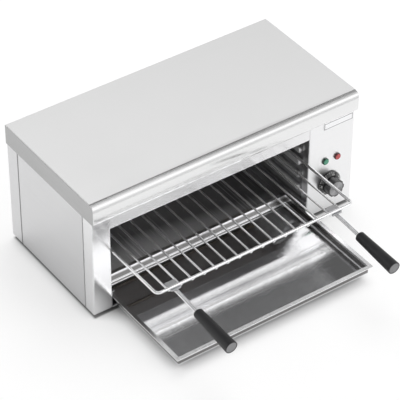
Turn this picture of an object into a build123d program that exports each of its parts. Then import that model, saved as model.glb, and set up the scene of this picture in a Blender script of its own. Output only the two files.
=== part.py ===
from build123d import *
import math
import os

# Countertop cheese melter: a sheet-metal cabinet with an open grill space, a pull-out wire
# rack and a pull-out crumb tray, both shown drawn forwards. Millimetres. X runs to the right,
# Y to the back and Z up. The origin is on the standing surface, under the lid's centre.

# ---- cabinet: driving dimensions
BODY_WIDTH = 596.8
BODY_DEPTH = 286.0
BODY_TOP = 270.3
FOOT_HEIGHT = 10.0
PILLAR_WIDTH = 40.4
PANEL_WIDTH = 106.4
OPENING_TOP = 198.0
SHEET = 1.0
SHEET_BEND = 1.0
FRONT_TOP = 262.0
WRAP_DEPTH = 28.1
REAR_WRAP_DEPTH = 35.9
DRILL = 5.0
JAMB_DEPTH = 18.1
SEAM_GAP = 1.0
SEAM_LAP = 16.0
LAP_SEAT = 2.0
TOP_FLANGE = 12.0
BASE_FLANGE = 12.0

# ---- lid
LID_SHEET = 1.2
LID_GAP = 0.4
LID_OVERHANG = 9.4
LID_SKIRT = 43.0
LID_NOSE_RADIUS = 13.0
LID_CURL_RADIUS = 6.0
LID_CORNER = 1.5

# ---- cavity
LINER_SHEET = 1.0
CEILING_HEIGHT = 214.0
CAVITY_BACK_GAP = 14.9
LINER_START = 9.1
RIB_COUNT = 4
RIB_PITCH = 30.0
LOWEST_RIB = 72.0
RIB_HEIGHT = 14.0
RIB_DEPTH = 8.0
RIB_CORNER = 3.5
RIB_END_FLAT = 0.1
RIB_START = 20.1
RIB_END_GAP = 16.0

# ---- crumb tray and its guides
GUIDE_SHEET = 1.2
GUIDE_HEIGHT = 36.2
GUIDE_SHELF = 18.0
GUIDE_TOP_LIP = 6.0
GUIDE_END_GAP = 11.0
SLIDE_CLEARANCE = 0.3
TRAY_SIDE_GAP = 0.8
TRAY_LENGTH = 270.0
TRAY_HEIGHT = 20.9
TRAY_SHEET = 1.0
TRAY_LIP = 6.5
TRAY_HEM = 5.0
GUIDE_BEND = 0.3
TRAY_BEND = 2.5
TRAY_PULLED_OUT = 207.4

# ---- rack and its handles
RACK_LENGTH = 250.0
RACK_PULLED_OUT = 139.9
RACK_RIB = 2
RACK_SIDE_GAP = 1.5
FRAME_ROD = 6.0
FRAME_CORNER = 9.0
WIRE_COUNT = 16
WIRE_ROD = 4.0
WIRE_INSET = 2.5
WELD_GAP = 0.05
HANDLE_WIRE = 1
PLATE_LENGTH = 24.0
PLATE_SHEET = 3.0
PLATE_OVERRUN = 5.0
PLATE_CORNER = 2.0
STEM_ROD = 4.0
STEM_SPACING = 4.3
STEM_SETBACK = 2.0
STEM_STRAIGHT = 26.0
STEM_BEND = 60.0
HANDLE_DROOP = 3.6
GRIP_START = 70.0
GRIP_LENGTH = 102.5
GRIP_NEAR = 19.5
GRIP_FAR = 25.5
GRIP_NEAR_ROUND = 3.0
GRIP_FAR_ROUND = 1.0
GRIP_CAP = 21.8
GRIP_CAP_SHEET = 1.0
GRIP_CAP_INSET = 0.4
STEM_IN_GRIP = 80.0
SEAT_CLEARANCE = 0.05

# ---- heating
ELEMENT_ROD = 8.0
ELEMENT_HEIGHT = 206.0
ELEMENT_LEG_SPACING = 60.0
ELEMENT_PAIR_SPACING = 120.0
ELEMENT_END_GAP = 10.0
ELEMENT_BEND_FLAT = 1.0
ELEMENT_TAIL = 25.0
HANGER_SHEET = 1.2
HANGER_COUNT = 3
HANGER_DROP = 15.3
HANGER_FLANGE = 10.0
HANGER_MARGIN = 8.0
HANGER_FROM_WALL = 80.0
HANGER_CLEARANCE = 0.3
BUSHING_FLANGE = 16.0
BUSHING_FLANGE_SHEET = 2.0
BUSHING_SHANK = 12.0
BUSHING_LENGTH = 11.0
BUSHING_NUT = 17.0
BUSHING_NUT_SHEET = 5.0
INSULATOR_ROD = 7.6
INSULATOR_LENGTH = 8.0
PIN_ROD = 2.5
PIN_LENGTH = 14.0

# ---- thermostat and knob
KNOB_FROM_OPENING = 51.5
KNOB_HEIGHT = 73.5
SPINDLE_ROD = 6.0
SPINDLE_CLEARANCE = 0.05
SPINDLE_HOLE = 10.0
SPINDLE_IN_BODY = 9.0
SPINDLE_FLAT = 2.2
THERMOSTAT_WIDTH = 44.0
THERMOSTAT_HEIGHT = 34.0
THERMOSTAT_DEPTH = 30.0
THERMOSTAT_CORNER = 4.0
KNOB_SCREW_SPACING = 28.0
KNOB_GAP = 1.0
SKIRT_DIAMETER = 52.0
SKIRT_RIM = 2.5
SKIRT_RISE = 4.4
SKIRT_TOP_DIAMETER = 40.0
SKIRT_WALL = 2.6
CAP_DIAMETER = 37.0
CAP_DEPTH = 16.6
CAP_LOBES = 8
CAP_SCALLOP = 6.0
CAP_SCALLOP_DEPTH = 1.5
CAP_BORE_DEPTH = 11.0
FACE_DIAMETER = 31.0
FACE_SHEET = 0.8
POINTER_WIDTH = 2.4
POINTER_LENGTH = 12.0
POINTER_PROUD = 0.6
POINTER_MARGIN = 1.0
POINTER_ANGLE = 35.0

# ---- sensor
BULB_ROD = 6.0
BULB_LENGTH = 90.0
BULB_ROUND = 1.0
BULB_HEIGHT = 190.0
BULB_FROM_WALL = 6.0
BULB_FROM_BACK = 31.0
CLIP_SHEET = 0.8
CLIP_WIDTH = 6.0
CLIP_FROM_END = 14.0
CAPILLARY_ROD = 2.0
CAPILLARY_BEND = 10.0
CAPILLARY_HOLE = 5.0
CAPILLARY_RISE = 12.0

# ---- pilot lamps and name plate
PILOT_HEIGHT = 130.5
PILOT_FROM_OPENING = 40.3
PILOT_SPACING = 28.8
LENS_DIAMETER = 14.5
LENS_DEPTH = 4.5
LENS_RIM = 1.5
LAMP_BODY = 11.8
LAMP_HOLE = 12.0
LAMP_LENGTH = 32.0
LAMP_TAG_SHEET = 0.8
LAMP_TAG_WIDTH = 4.8
LAMP_TAG_LENGTH = 8.0
LAMP_NUT = 17.0
LAMP_NUT_SHEET = 4.0
NAME_PLATE_FROM_OPENING = 33.7
NAME_PLATE_WIDTH = 68.3
NAME_PLATE_HEIGHT = 15.0
NAME_PLATE_BOTTOM = 207.0
NAME_PLATE_SHEET = 0.8
NAME_PLATE_CORNER = 1.0

# ---- electrics
TERMINAL_WIDTH = 44.0
TERMINAL_DEPTH = 20.0
TERMINAL_HEIGHT = 18.0
TERMINAL_WAYS = 3
TERMINAL_CORNER = 1.5
TERMINAL_WELL = 8.0
TERMINAL_FROM_BACK = 62.0
GLAND_FROM_SIDE = 48.4
GLAND_HEIGHT = 50.0
GLAND_HEX = 22.0
GLAND_BORE = 9.0
GLAND_THREAD = 16.0
GLAND_THREAD_LENGTH = 9.0
GLAND_HEX_SHEET = 6.0
GLAND_DOME = 19.0
GLAND_DOME_LENGTH = 12.0
GLAND_DOME_ROUND = 3.0
GLAND_NUT_SHEET = 4.0
GLAND_SEAL_SHEET = 1.5
WIRE_LEAD = 2.4
LEAD_BEND = 8.0
LEAD_DROP = 8.0
LEAD_SLACK = 0.5
LEAD_FROM_SIDE = 12.0
EARTH_STUD = 5.0
EARTH_STUD_LENGTH = 16.0
EARTH_NUT = 8.0
EARTH_NUT_SHEET = 4.0
VENT_COUNT = 9
VENT_PITCH = 10.0
VENT_LENGTH = 60.0
VENT_HEIGHT = 4.0
VENT_BOTTOM = 120.0

# ---- feet and fasteners
FOOT_DIAMETER = 30.0
FOOT_TAPER = 2.0
FOOT_FROM_SIDE = 19.7
FOOT_FROM_FRONT = 34.1
FOOT_COUNTERBORE = 10.5
FOOT_SCREW = 5.0
FOOT_SCREW_LENGTH = 14.0
FOOT_HEAD = 9.0
FOOT_HEAD_SHEET = 3.0
FOOT_HEAD_INSET = 2.0
FOOT_NUT = 8.0
FOOT_NUT_SHEET = 4.0
SCREW = 4.0
SCREW_LENGTH = 7.0
SCREW_HEAD = 7.5
SCREW_HEAD_SHEET = 2.4
SCREW_HEAD_ROUND = 1.0
SCREW_RECESS = 4.2
SCREW_RECESS_WIDTH = 0.9
SCREW_RECESS_DEPTH = 1.2
SCREW_HOLE_CLEARANCE = 0.1
LID_SCREW_COUNT = 3
LID_SCREW_HEIGHT = 240.0
REAR_SCREW_COUNT = 4
REAR_SCREW_HEIGHT = 6.5
REAR_SCREW_SPAN = 460.0

# ---- derived places
SIDE = BODY_WIDTH / 2
LID_DEPTH = LID_OVERHANG + BODY_DEPTH + LID_GAP + LID_SHEET
LID_FRONT = -LID_DEPTH / 2
LID_BACK = LID_DEPTH / 2
LID_SIDE = SIDE + LID_GAP + LID_SHEET
LID_TOP = BODY_TOP + LID_SHEET
LID_BOTTOM = LID_TOP - LID_SKIRT
FRONT = LID_FRONT + LID_OVERHANG
BACK = FRONT + BODY_DEPTH
FLOOR_TOP = FOOT_HEIGHT + SHEET
OPENING_LEFT = -SIDE + PILLAR_WIDTH
OPENING_RIGHT = SIDE - PANEL_WIDTH
WALL_LEFT = OPENING_LEFT - SHEET
WALL_RIGHT = OPENING_RIGHT + SHEET
MIDDLE = (OPENING_LEFT + OPENING_RIGHT) / 2
CAVITY_BACK = BACK - SHEET - CAVITY_BACK_GAP
LINER_FRONT = FRONT + LINER_START
RIB_FRONT = FRONT + RIB_START
RIB_BACK = CAVITY_BACK - RIB_END_GAP
SEAM_FRONT = FRONT + WRAP_DEPTH
SEAM_BACK = BACK - REAR_WRAP_DEPTH
PANEL_BACK = FRONT + SHEET
TRAY_LEFT = OPENING_LEFT + GUIDE_SHEET + TRAY_SIDE_GAP
TRAY_RIGHT = OPENING_RIGHT - GUIDE_SHEET - TRAY_SIDE_GAP
TRAY_FRONT = FRONT - TRAY_PULLED_OUT
TRAY_BACK = TRAY_FRONT + TRAY_LENGTH
TRAY_BOTTOM = FLOOR_TOP + GUIDE_SHEET + SLIDE_CLEARANCE
TRAY_TOP = TRAY_BOTTOM + TRAY_HEIGHT
RACK_SEAT = LOWEST_RIB + RACK_RIB * RIB_PITCH + RIB_HEIGHT / 2
FRAME_AXIS = RACK_SEAT + SLIDE_CLEARANCE + FRAME_ROD / 2
RACK_LEFT = OPENING_LEFT + RACK_SIDE_GAP + FRAME_ROD / 2
RACK_RIGHT = OPENING_RIGHT - RACK_SIDE_GAP - FRAME_ROD / 2
RACK_FRONT = FRONT - RACK_PULLED_OUT
RACK_BACK = RACK_FRONT + RACK_LENGTH
WIRE_PITCH = (RACK_RIGHT - RACK_LEFT) / (WIRE_COUNT + 1)
WIRE_AXIS = FRAME_AXIS - FRAME_ROD / 2 - WELD_GAP - WIRE_ROD / 2
PLATE_TOP = FRAME_AXIS - FRAME_ROD / 2 - WELD_GAP
PLATE_BOTTOM = PLATE_TOP - PLATE_SHEET
PLATE_WIDTH = WIRE_PITCH - WIRE_ROD - 2 * WELD_GAP
PLATE_FRONT = RACK_FRONT - PLATE_OVERRUN
LEFT_HANDLE = RACK_LEFT + (HANDLE_WIRE + 0.5) * WIRE_PITCH
RIGHT_HANDLE = RACK_RIGHT - (HANDLE_WIRE + 0.5) * WIRE_PITCH
STEM_AXIS = PLATE_BOTTOM - WELD_GAP - STEM_ROD / 2
STEM_START = PLATE_FRONT + PLATE_LENGTH - STEM_SETBACK
STEM_TURN = STEM_START - STEM_STRAIGHT
GRIP_NEAR_END = RACK_FRONT - GRIP_START
GRIP_FAR_END = GRIP_NEAR_END - GRIP_LENGTH
KNOB_X = OPENING_RIGHT + KNOB_FROM_OPENING
KNOB_BACK = FRONT - KNOB_GAP
CAP_BACK = KNOB_BACK - SKIRT_RIM - SKIRT_RISE
CAP_FRONT = CAP_BACK - CAP_DEPTH
ELEMENT_MIDDLE = (FRONT + BACK) / 2
ELEMENT_END = WALL_RIGHT + SHEET + ELEMENT_TAIL
GREEN_X = OPENING_RIGHT + PILOT_FROM_OPENING
RED_X = GREEN_X + PILOT_SPACING
GLAND_X = SIDE - GLAND_FROM_SIDE
TERMINAL_X = (WALL_RIGHT + SIDE) / 2
TERMINAL_Y = BACK - TERMINAL_FROM_BACK
BULB_X = WALL_RIGHT - BULB_FROM_WALL
BULB_END = CAVITY_BACK - BULB_FROM_BACK
BULB_START = BULB_END - BULB_LENGTH
CAPILLARY_Y = BULB_END + CAPILLARY_BEND + CAPILLARY_ROD


# ---- shape helpers

def block(x0, x1, y0, y1, z0, z1):
    """Square-edged solid between the given limits."""
    return Pos((x0 + x1) / 2, (y0 + y1) / 2, (z0 + z1) / 2) * Box(x1 - x0, y1 - y0, z1 - z0)


def round_bar(start, end, radius):
    """Cylinder whose axis runs from one point to another."""
    axis = Vector(*end) - Vector(*start)
    return extrude(Plane(origin=start, z_dir=axis) * Circle(radius), amount=axis.length)


def hex_bar(start, end, across_flats):
    """Hexagonal prism whose axis runs from one point to another."""
    axis = Vector(*end) - Vector(*start)
    outline = RegularPolygon(across_flats / 2, 6, major_radius=False)
    return extrude(Plane(origin=start, z_dir=axis) * outline, amount=axis.length)


def hole_along_x(x, y, z, radius, thickness=0.0):
    """Drill along X through a sheet that starts at x."""
    return round_bar((x - DRILL, y, z), (x + thickness + DRILL, y, z), radius)


def hole_along_y(x, y, z, radius, thickness=0.0):
    """Drill along Y through a sheet that starts at y."""
    return round_bar((x, y - DRILL, z), (x, y + thickness + DRILL, z), radius)


def hole_along_z(x, y, z, radius, thickness=0.0):
    """Drill along Z through a sheet that starts at z."""
    return round_bar((x, y, z - DRILL), (x, y, z + thickness + DRILL), radius)


def bent_bar(points, bend, radius, closed=False):
    """Round bar along straight runs joined by tangent arcs."""
    path = FilletPolyline(*points, radius=bend, close=closed)
    return sweep(Plane(origin=path @ 0, z_dir=path % 0) * Circle(radius), path=path)


def folded_profile(points, thickness, bend):
    """Section of a sheet with square folds, lying to the left of the given outer line."""
    line = [Vector(x, y) for x, y in points]
    runs = [(b - a).normalized() for a, b in zip(line, line[1:])]
    lefts = [Vector(-run.Y, run.X) for run in runs]
    inner = [line[0] + lefts[0] * thickness]
    outer_bends = []
    inner_bends = []
    for corner, before, after in zip(line[1:-1], range(len(runs)), range(1, len(runs))):
        turns_left = runs[before].cross(runs[after]).Z > 0
        inner.append(corner + (lefts[before] + lefts[after]) * thickness)
        outer_bends.append(bend + thickness if turns_left else bend)
        inner_bends.append(bend if turns_left else bend + thickness)
    inner.append(line[-1] + lefts[-1] * thickness)
    bends = [0] + outer_bends + [0, 0] + inner_bends[::-1] + [0]
    return make_face(FilletPolyline(*line, *inner[::-1], radius=bends, close=True))


def upright(face, z0, z1):
    """Face drawn in plan (X, Y), raised from one height to another."""
    return extrude(Plane.XY.offset(z0) * face, amount=z1 - z0)


def lengthwise(face, y0, y1):
    """Face drawn from the front (X, Z), carried from one Y to another."""
    front_view = Plane(origin=(0, y1, 0), x_dir=(1, 0, 0), z_dir=(0, -1, 0))
    return extrude(front_view * face, amount=y1 - y0)


def crosswise(face, x0, x1):
    """Face drawn from the side (Y, Z), carried from one X to another."""
    return extrude(Plane.YZ.offset(x0) * face, amount=x1 - x0)


def turned(points, bends, x, z):
    """Solid turned about an axis along Y; its outline holds (radius, Y) pairs."""
    outline = make_face(FilletPolyline(*points, radius=bends, close=True))
    return revolve(Plane(origin=(x, 0, z)) * outline, axis=Axis((x, 0, z), (0, 1, 0)))


def spread(count, low, high):
    """Evenly spaced places from low to high, ends included."""
    return [low + (high - low) * i / (count - 1) for i in range(count)]


def write(name, *solids):
    """Write one node; several solids share it as a group."""
    shape = solids[0] if len(solids) == 1 else Compound(children=list(solids))
    export_step(shape, f"parts/{name}.step")


# ---- fasteners

def cross_recess(top):
    """Cross cut into a screw head that faces along Y, about the point top."""
    arm = SCREW_RECESS / 2
    slot = SCREW_RECESS_WIDTH / 2
    y0 = top.Y - SCREW_RECESS_DEPTH
    y1 = top.Y + SCREW_RECESS_DEPTH
    level = block(top.X - arm, top.X + arm, y0, y1, top.Z - slot, top.Z + slot)
    upright_arm = block(top.X - slot, top.X + slot, y0, y1, top.Z - arm, top.Z + arm)
    return level + upright_arm


def pan_screw(seat, direction):
    """Pan-head screw whose head sits on the point seat; direction leads into the work."""
    inwards = Vector(*direction)
    at = Vector(*seat)
    head = round_bar(at - inwards * SCREW_HEAD_SHEET, at, SCREW_HEAD / 2)
    rim = head.edges().group_by(lambda edge: (edge.center() - at).dot(inwards))[0]
    head = fillet(rim, SCREW_HEAD_ROUND) - cross_recess(at - inwards * SCREW_HEAD_SHEET)
    return head + round_bar(at, at + inwards * SCREW_LENGTH, SCREW / 2)


def lid_screw_places():
    """Seats of the lid's screws on the rear skirt."""
    return [(x, LID_BACK, LID_SCREW_HEIGHT) for x in spread(LID_SCREW_COUNT, -SIDE / 2, SIDE / 2)]


def rear_screw_places():
    """Seats of the rear panel's screws, level with the base plate's rear flange."""
    height = FLOOR_TOP + REAR_SCREW_HEIGHT
    xs = spread(REAR_SCREW_COUNT, -REAR_SCREW_SPAN / 2, REAR_SCREW_SPAN / 2)
    return [(x, BACK, height) for x in xs]


def foot_places():
    """Centres of the four feet."""
    xs = (-SIDE + FOOT_FROM_SIDE, SIDE - FOOT_FROM_SIDE)
    ys = (FRONT + FOOT_FROM_FRONT, BACK - FOOT_FROM_FRONT)
    return [(x, y) for x in xs for y in ys]


def thermostat_screw_places():
    """Seats of the two screws hidden by the knob's skirt."""
    half = KNOB_SCREW_SPACING / 2
    return [(KNOB_X - half, FRONT, KNOB_HEIGHT), (KNOB_X + half, FRONT, KNOB_HEIGHT)]


def screw_hole(seat, direction):
    """Clearance hole for a screw, long enough for every sheet it holds."""
    inwards = Vector(*direction)
    at = Vector(*seat)
    reach = inwards * (SCREW_LENGTH + SCREW)
    return round_bar(at - reach, at + reach, SCREW / 2 + SCREW_HOLE_CLEARANCE)


# ---- cabinet shell

def make_lid():
    """Top cover: rounded nose in front, skirts all round, the front one curled under."""
    curl = LID_CURL_RADIUS
    lip_end = FRONT - LID_GAP
    outer = [
        (LID_FRONT, LID_BOTTOM),
        (LID_FRONT, LID_TOP),
        (LID_BACK, LID_TOP),
        (LID_BACK, LID_BOTTOM),
    ]
    bends = [curl, LID_NOSE_RADIUS, LID_CORNER, 0]
    skin = make_face(FilletPolyline(*outer, radius=bends, close=True))
    shell = crosswise(skin, -LID_SIDE, LID_SIDE)
    ends = [edge for edge in shell.edges() if abs(abs(edge.center().X) - LID_SIDE) < 0.01]
    shell = fillet([edge for edge in ends if edge.center().Z > LID_BOTTOM + curl + 1], LID_CORNER)
    inside = [
        (LID_FRONT + LID_SHEET, LID_BOTTOM + LID_SHEET),
        (LID_FRONT + LID_SHEET, BODY_TOP),
        (LID_BACK - LID_SHEET, BODY_TOP),
        (LID_BACK - LID_SHEET, LID_BOTTOM - 1),
        (lip_end, LID_BOTTOM - 1),
        (lip_end, LID_BOTTOM + LID_SHEET),
    ]
    bends = [curl - LID_SHEET, LID_NOSE_RADIUS - LID_SHEET, 0, 0, 0, 0]
    hollow = make_face(FilletPolyline(*inside, radius=bends, close=True))
    lid = shell - crosswise(hollow, -LID_SIDE + LID_SHEET, LID_SIDE - LID_SHEET)
    for seat in lid_screw_places():
        lid -= screw_hole(seat, (0, -1, 0))
    return lid


def make_left_pillar():
    """Front corner: side wrap, front face and the jamb of the opening."""
    jamb_end = FRONT + JAMB_DEPTH
    line = [(-SIDE, SEAM_FRONT), (-SIDE, FRONT), (OPENING_LEFT, FRONT), (OPENING_LEFT, jamb_end)]
    pillar = upright(folded_profile(line, SHEET, SHEET_BEND), FOOT_HEIGHT, FRONT_TOP)
    return pillar - block(-SIDE + SHEET, OPENING_LEFT, PANEL_BACK, jamb_end, 0, FLOOR_TOP)


def make_control_panel():
    """Front of the control compartment, wrapped round the right corner."""
    jamb_end = FRONT + JAMB_DEPTH
    line = [(OPENING_RIGHT, jamb_end), (OPENING_RIGHT, FRONT), (SIDE, FRONT), (SIDE, SEAM_FRONT)]
    panel = upright(folded_profile(line, SHEET, SHEET_BEND), FOOT_HEIGHT, FRONT_TOP)
    panel -= block(OPENING_RIGHT, SIDE - SHEET, PANEL_BACK, jamb_end, 0, FLOOR_TOP)
    panel -= hole_along_y(KNOB_X, FRONT, KNOB_HEIGHT, SPINDLE_HOLE / 2)
    for seat in thermostat_screw_places():
        panel -= screw_hole(seat, (0, 1, 0))
    for x in (GREEN_X, RED_X):
        panel -= hole_along_y(x, FRONT, PILOT_HEIGHT, LAMP_HOLE / 2)
    return panel


def make_lintel():
    """Cross piece over the opening, its lower edge turned in and its ends flanged."""
    depth = JAMB_DEPTH - SHEET
    line = [(FRONT, FRONT_TOP), (FRONT, OPENING_TOP), (PANEL_BACK + depth, OPENING_TOP)]
    lintel = crosswise(folded_profile(line, SHEET, SHEET_BEND), OPENING_LEFT, OPENING_RIGHT)
    for x in (OPENING_LEFT, OPENING_RIGHT - SHEET):
        lintel += block(x, x + SHEET, PANEL_BACK, PANEL_BACK + depth, OPENING_TOP + SHEET, FRONT_TOP)
    return lintel


def make_side_panel(side):
    """Side wall between the two seams, lapped behind the wraps; side is -1 or 1."""
    front = SEAM_FRONT + SEAM_GAP
    back = SEAM_BACK - SEAM_GAP
    face = SIDE - SHEET
    panel = block(face, SIDE, front, back, FOOT_HEIGHT, BODY_TOP)
    panel += block(face - SHEET, face, front - SEAM_LAP, front + LAP_SEAT, FLOOR_TOP, FRONT_TOP)
    panel += block(face - SHEET, face, back - LAP_SEAT, back + SEAM_LAP, FLOOR_TOP, FRONT_TOP)
    panel += block(face - TOP_FLANGE, face, front, back, BODY_TOP - SHEET, BODY_TOP)
    return panel if side > 0 else mirror(panel, about=Plane.YZ)


def make_rear_panel():
    """Back of the cabinet with its wraps, cooling slots and the cable's hole."""
    line = [(SIDE, SEAM_BACK), (SIDE, BACK), (-SIDE, BACK), (-SIDE, SEAM_BACK)]
    panel = upright(folded_profile(line, SHEET, SHEET_BEND), FOOT_HEIGHT, BODY_TOP)
    panel += block(-SIDE / 2, SIDE / 2, BACK - TOP_FLANGE, BACK - SHEET, BODY_TOP - SHEET, BODY_TOP)
    slot_middle = (WALL_RIGHT + SIDE) / 2
    for i in range(VENT_COUNT):
        z = VENT_BOTTOM + i * VENT_PITCH
        slot = SlotOverall(VENT_LENGTH, VENT_HEIGHT)
        panel -= lengthwise(Pos(slot_middle, z) * slot, BACK - 2 * SHEET, BACK + SHEET)
    panel -= hole_along_y(GLAND_X, BACK, GLAND_HEIGHT, GLAND_THREAD / 2 + SCREW_HOLE_CLEARANCE)
    for seat in rear_screw_places() + lid_screw_places():
        panel -= screw_hole(seat, (0, -1, 0))
    return panel


def make_base_plate():
    """Floor of the cabinet with upstands at its sides and back."""
    edge = SIDE - SHEET
    top = FLOOR_TOP + BASE_FLANGE
    plate = block(-edge, edge, PANEL_BACK, BACK - SHEET, FOOT_HEIGHT, FLOOR_TOP)
    plate = fillet(plate.edges().filter_by(Axis.Z), SHEET_BEND)
    plate += block(OPENING_LEFT, OPENING_RIGHT, FRONT, PANEL_BACK, FOOT_HEIGHT, FLOOR_TOP)
    front = SEAM_FRONT + SEAM_GAP + LAP_SEAT
    back = SEAM_BACK - SEAM_GAP - LAP_SEAT
    plate += block(-edge, -edge + SHEET, front, back, FLOOR_TOP, top)
    plate += block(edge - SHEET, edge, front, back, FLOOR_TOP, top)
    inset = SHEET + SEAM_LAP
    plate += block(-edge + inset, edge - inset, BACK - 2 * SHEET, BACK - SHEET, FLOOR_TOP, top)
    for x, y in foot_places():
        plate -= hole_along_z(x, y, FLOOR_TOP, FOOT_SCREW / 2 + SCREW_HOLE_CLEARANCE)
    for seat in rear_screw_places():
        plate -= screw_hole(seat, (0, -1, 0))
    return plate - hole_along_z(*earth_place(FLOOR_TOP), EARTH_STUD / 2 + SCREW_HOLE_CLEARANCE)


def make_foot(x, y):
    """Rubber foot, tapered downwards, with a counterbore for its screw's head."""
    slope = math.degrees(math.atan(FOOT_TAPER / FOOT_HEIGHT))
    foot = extrude(Circle(FOOT_DIAMETER / 2 - FOOT_TAPER), amount=FOOT_HEIGHT, taper=-slope)
    foot = Pos(x, y, 0) * foot
    seat = FOOT_HEAD_INSET + FOOT_HEAD_SHEET
    foot -= round_bar((x, y, -DRILL), (x, y, seat), FOOT_COUNTERBORE / 2)
    return foot - hole_along_z(x, y, 0, FOOT_SCREW / 2 + SEAT_CLEARANCE, FOOT_HEIGHT)


def make_foot_screw(x, y):
    """Screw up through the foot and the base plate."""
    seat = FOOT_HEAD_INSET + FOOT_HEAD_SHEET
    screw = round_bar((x, y, FOOT_HEAD_INSET), (x, y, seat), FOOT_HEAD / 2)
    return screw + round_bar((x, y, seat), (x, y, seat + FOOT_SCREW_LENGTH), FOOT_SCREW / 2)


def make_foot_nut(x, y):
    """Nut on top of the base plate."""
    nut = hex_bar((x, y, FLOOR_TOP), (x, y, FLOOR_TOP + FOOT_NUT_SHEET), FOOT_NUT)
    return nut - hole_along_z(x, y, FLOOR_TOP, FOOT_SCREW / 2 + SEAT_CLEARANCE, FOOT_NUT_SHEET)


def make_name_plate():
    """Bare plate stuck near the top of the control panel."""
    left = OPENING_RIGHT + NAME_PLATE_FROM_OPENING
    top = NAME_PLATE_BOTTOM + NAME_PLATE_HEIGHT
    plate = block(left, left + NAME_PLATE_WIDTH, FRONT - NAME_PLATE_SHEET, FRONT, NAME_PLATE_BOTTOM, top)
    return fillet(plate.edges().filter_by(Axis.Y), NAME_PLATE_CORNER)


# ---- cavity

def make_rib(height, shrink):
    """Bead pressed out of the right-hand liner; shrink gives the hollow behind it."""
    tip = WALL_RIGHT - RIB_DEPTH + shrink
    root = WALL_RIGHT + shrink
    half = RIB_HEIGHT / 2 - shrink
    rib = block(tip, root, RIB_FRONT + shrink, RIB_BACK - shrink, height - half, height + half)
    rib = fillet(rib.edges().filter_by(Axis.X), half - RIB_END_FLAT)
    rim = rib.faces().sort_by(Axis.X)[0].edges()
    return fillet(rim, RIB_CORNER - shrink)


def make_liner(side):
    """Side wall of the grill space with its pressed runners; side is -1 or 1."""
    outside = WALL_RIGHT + LINER_SHEET
    liner = block(WALL_RIGHT, outside, LINER_FRONT, CAVITY_BACK, FLOOR_TOP, CEILING_HEIGHT)
    for i in range(RIB_COUNT):
        height = LOWEST_RIB + i * RIB_PITCH
        liner += make_rib(height, 0)
        liner -= make_rib(height, LINER_SHEET)
    if side < 0:
        return mirror(liner, about=Plane.YZ.offset(MIDDLE))
    for y in element_leg_places():
        liner -= hole_along_x(WALL_RIGHT, y, ELEMENT_HEIGHT, BUSHING_SHANK / 2)
    return liner - hole_along_x(WALL_RIGHT, CAPILLARY_Y, BULB_HEIGHT, CAPILLARY_HOLE / 2)


def make_cavity_back():
    """Rear wall of the grill space."""
    left = WALL_LEFT - LINER_SHEET
    right = WALL_RIGHT + LINER_SHEET
    return block(left, right, CAVITY_BACK, CAVITY_BACK + LINER_SHEET, FLOOR_TOP, CEILING_HEIGHT)


def make_cavity_ceiling():
    """Roof of the grill space, turned down in front to meet the lintel."""
    left = WALL_LEFT - LINER_SHEET
    right = WALL_RIGHT + LINER_SHEET
    front = FRONT + JAMB_DEPTH
    back = CAVITY_BACK + LINER_SHEET
    roof = block(left, right, front, back, CEILING_HEIGHT, CEILING_HEIGHT + LINER_SHEET)
    return roof + block(WALL_LEFT, WALL_RIGHT, front, front + LINER_SHEET, OPENING_TOP, CEILING_HEIGHT)


def make_tray_guide(side):
    """Channel that carries one edge of the crumb tray; side is -1 or 1."""
    top = FLOOR_TOP + GUIDE_HEIGHT
    line = [
        (OPENING_LEFT + GUIDE_TOP_LIP, top),
        (OPENING_LEFT, top),
        (OPENING_LEFT, FLOOR_TOP),
        (OPENING_LEFT + GUIDE_SHELF, FLOOR_TOP),
    ]
    profile = folded_profile(line, GUIDE_SHEET, GUIDE_BEND)
    guide = lengthwise(profile, PANEL_BACK, CAVITY_BACK - GUIDE_END_GAP)
    return guide if side < 0 else mirror(guide, about=Plane.YZ.offset(MIDDLE))


# ---- crumb tray

def make_crumb_tray():
    """Shallow pan with flat hemmed lips that run in the guides."""
    left = TRAY_LEFT + TRAY_LIP
    right = TRAY_RIGHT - TRAY_LIP
    front = TRAY_FRONT + TRAY_LIP
    back = TRAY_BACK - TRAY_LIP
    wall = TRAY_SHEET
    pan = block(left, right, front, back, TRAY_BOTTOM, TRAY_TOP)
    pan = fillet(pan.faces().sort_by(Axis.Z)[0].edges(), TRAY_BEND)
    lip = block(TRAY_LEFT, TRAY_RIGHT, TRAY_FRONT, TRAY_BACK, TRAY_TOP - wall, TRAY_TOP)
    hem = block(TRAY_LEFT, TRAY_RIGHT, TRAY_FRONT, TRAY_BACK, TRAY_TOP - 2 * wall, TRAY_TOP - wall)
    hem -= block(
        TRAY_LEFT + TRAY_HEM,
        TRAY_RIGHT - TRAY_HEM,
        TRAY_FRONT + TRAY_HEM,
        TRAY_BACK - TRAY_HEM,
        TRAY_BOTTOM,
        TRAY_TOP,
    )
    hollow = block(left + wall, right - wall, front + wall, back - wall, TRAY_BOTTOM + wall, TRAY_TOP + 1)
    hollow = fillet(hollow.faces().sort_by(Axis.Z)[0].edges(), TRAY_BEND - wall)
    return pan + lip + hem - hollow


# ---- rack

def make_rack_frame():
    """Bent rod all round the rack; it rides on one pair of runners."""
    corners = [
        (RACK_LEFT, RACK_FRONT, FRAME_AXIS),
        (RACK_RIGHT, RACK_FRONT, FRAME_AXIS),
        (RACK_RIGHT, RACK_BACK, FRAME_AXIS),
        (RACK_LEFT, RACK_BACK, FRAME_AXIS),
    ]
    return bent_bar(corners, FRAME_CORNER, FRAME_ROD / 2, closed=True)


def make_rack_wires():
    """Straight wires welded under the frame's front and rear rods."""
    reach = FRAME_ROD / 2 - WIRE_INSET
    wires = []
    for i in range(WIRE_COUNT):
        x = RACK_LEFT + (i + 1) * WIRE_PITCH
        start = (x, RACK_FRONT - reach, WIRE_AXIS)
        wires.append(round_bar(start, (x, RACK_BACK + reach, WIRE_AXIS), WIRE_ROD / 2))
    return wires


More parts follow.
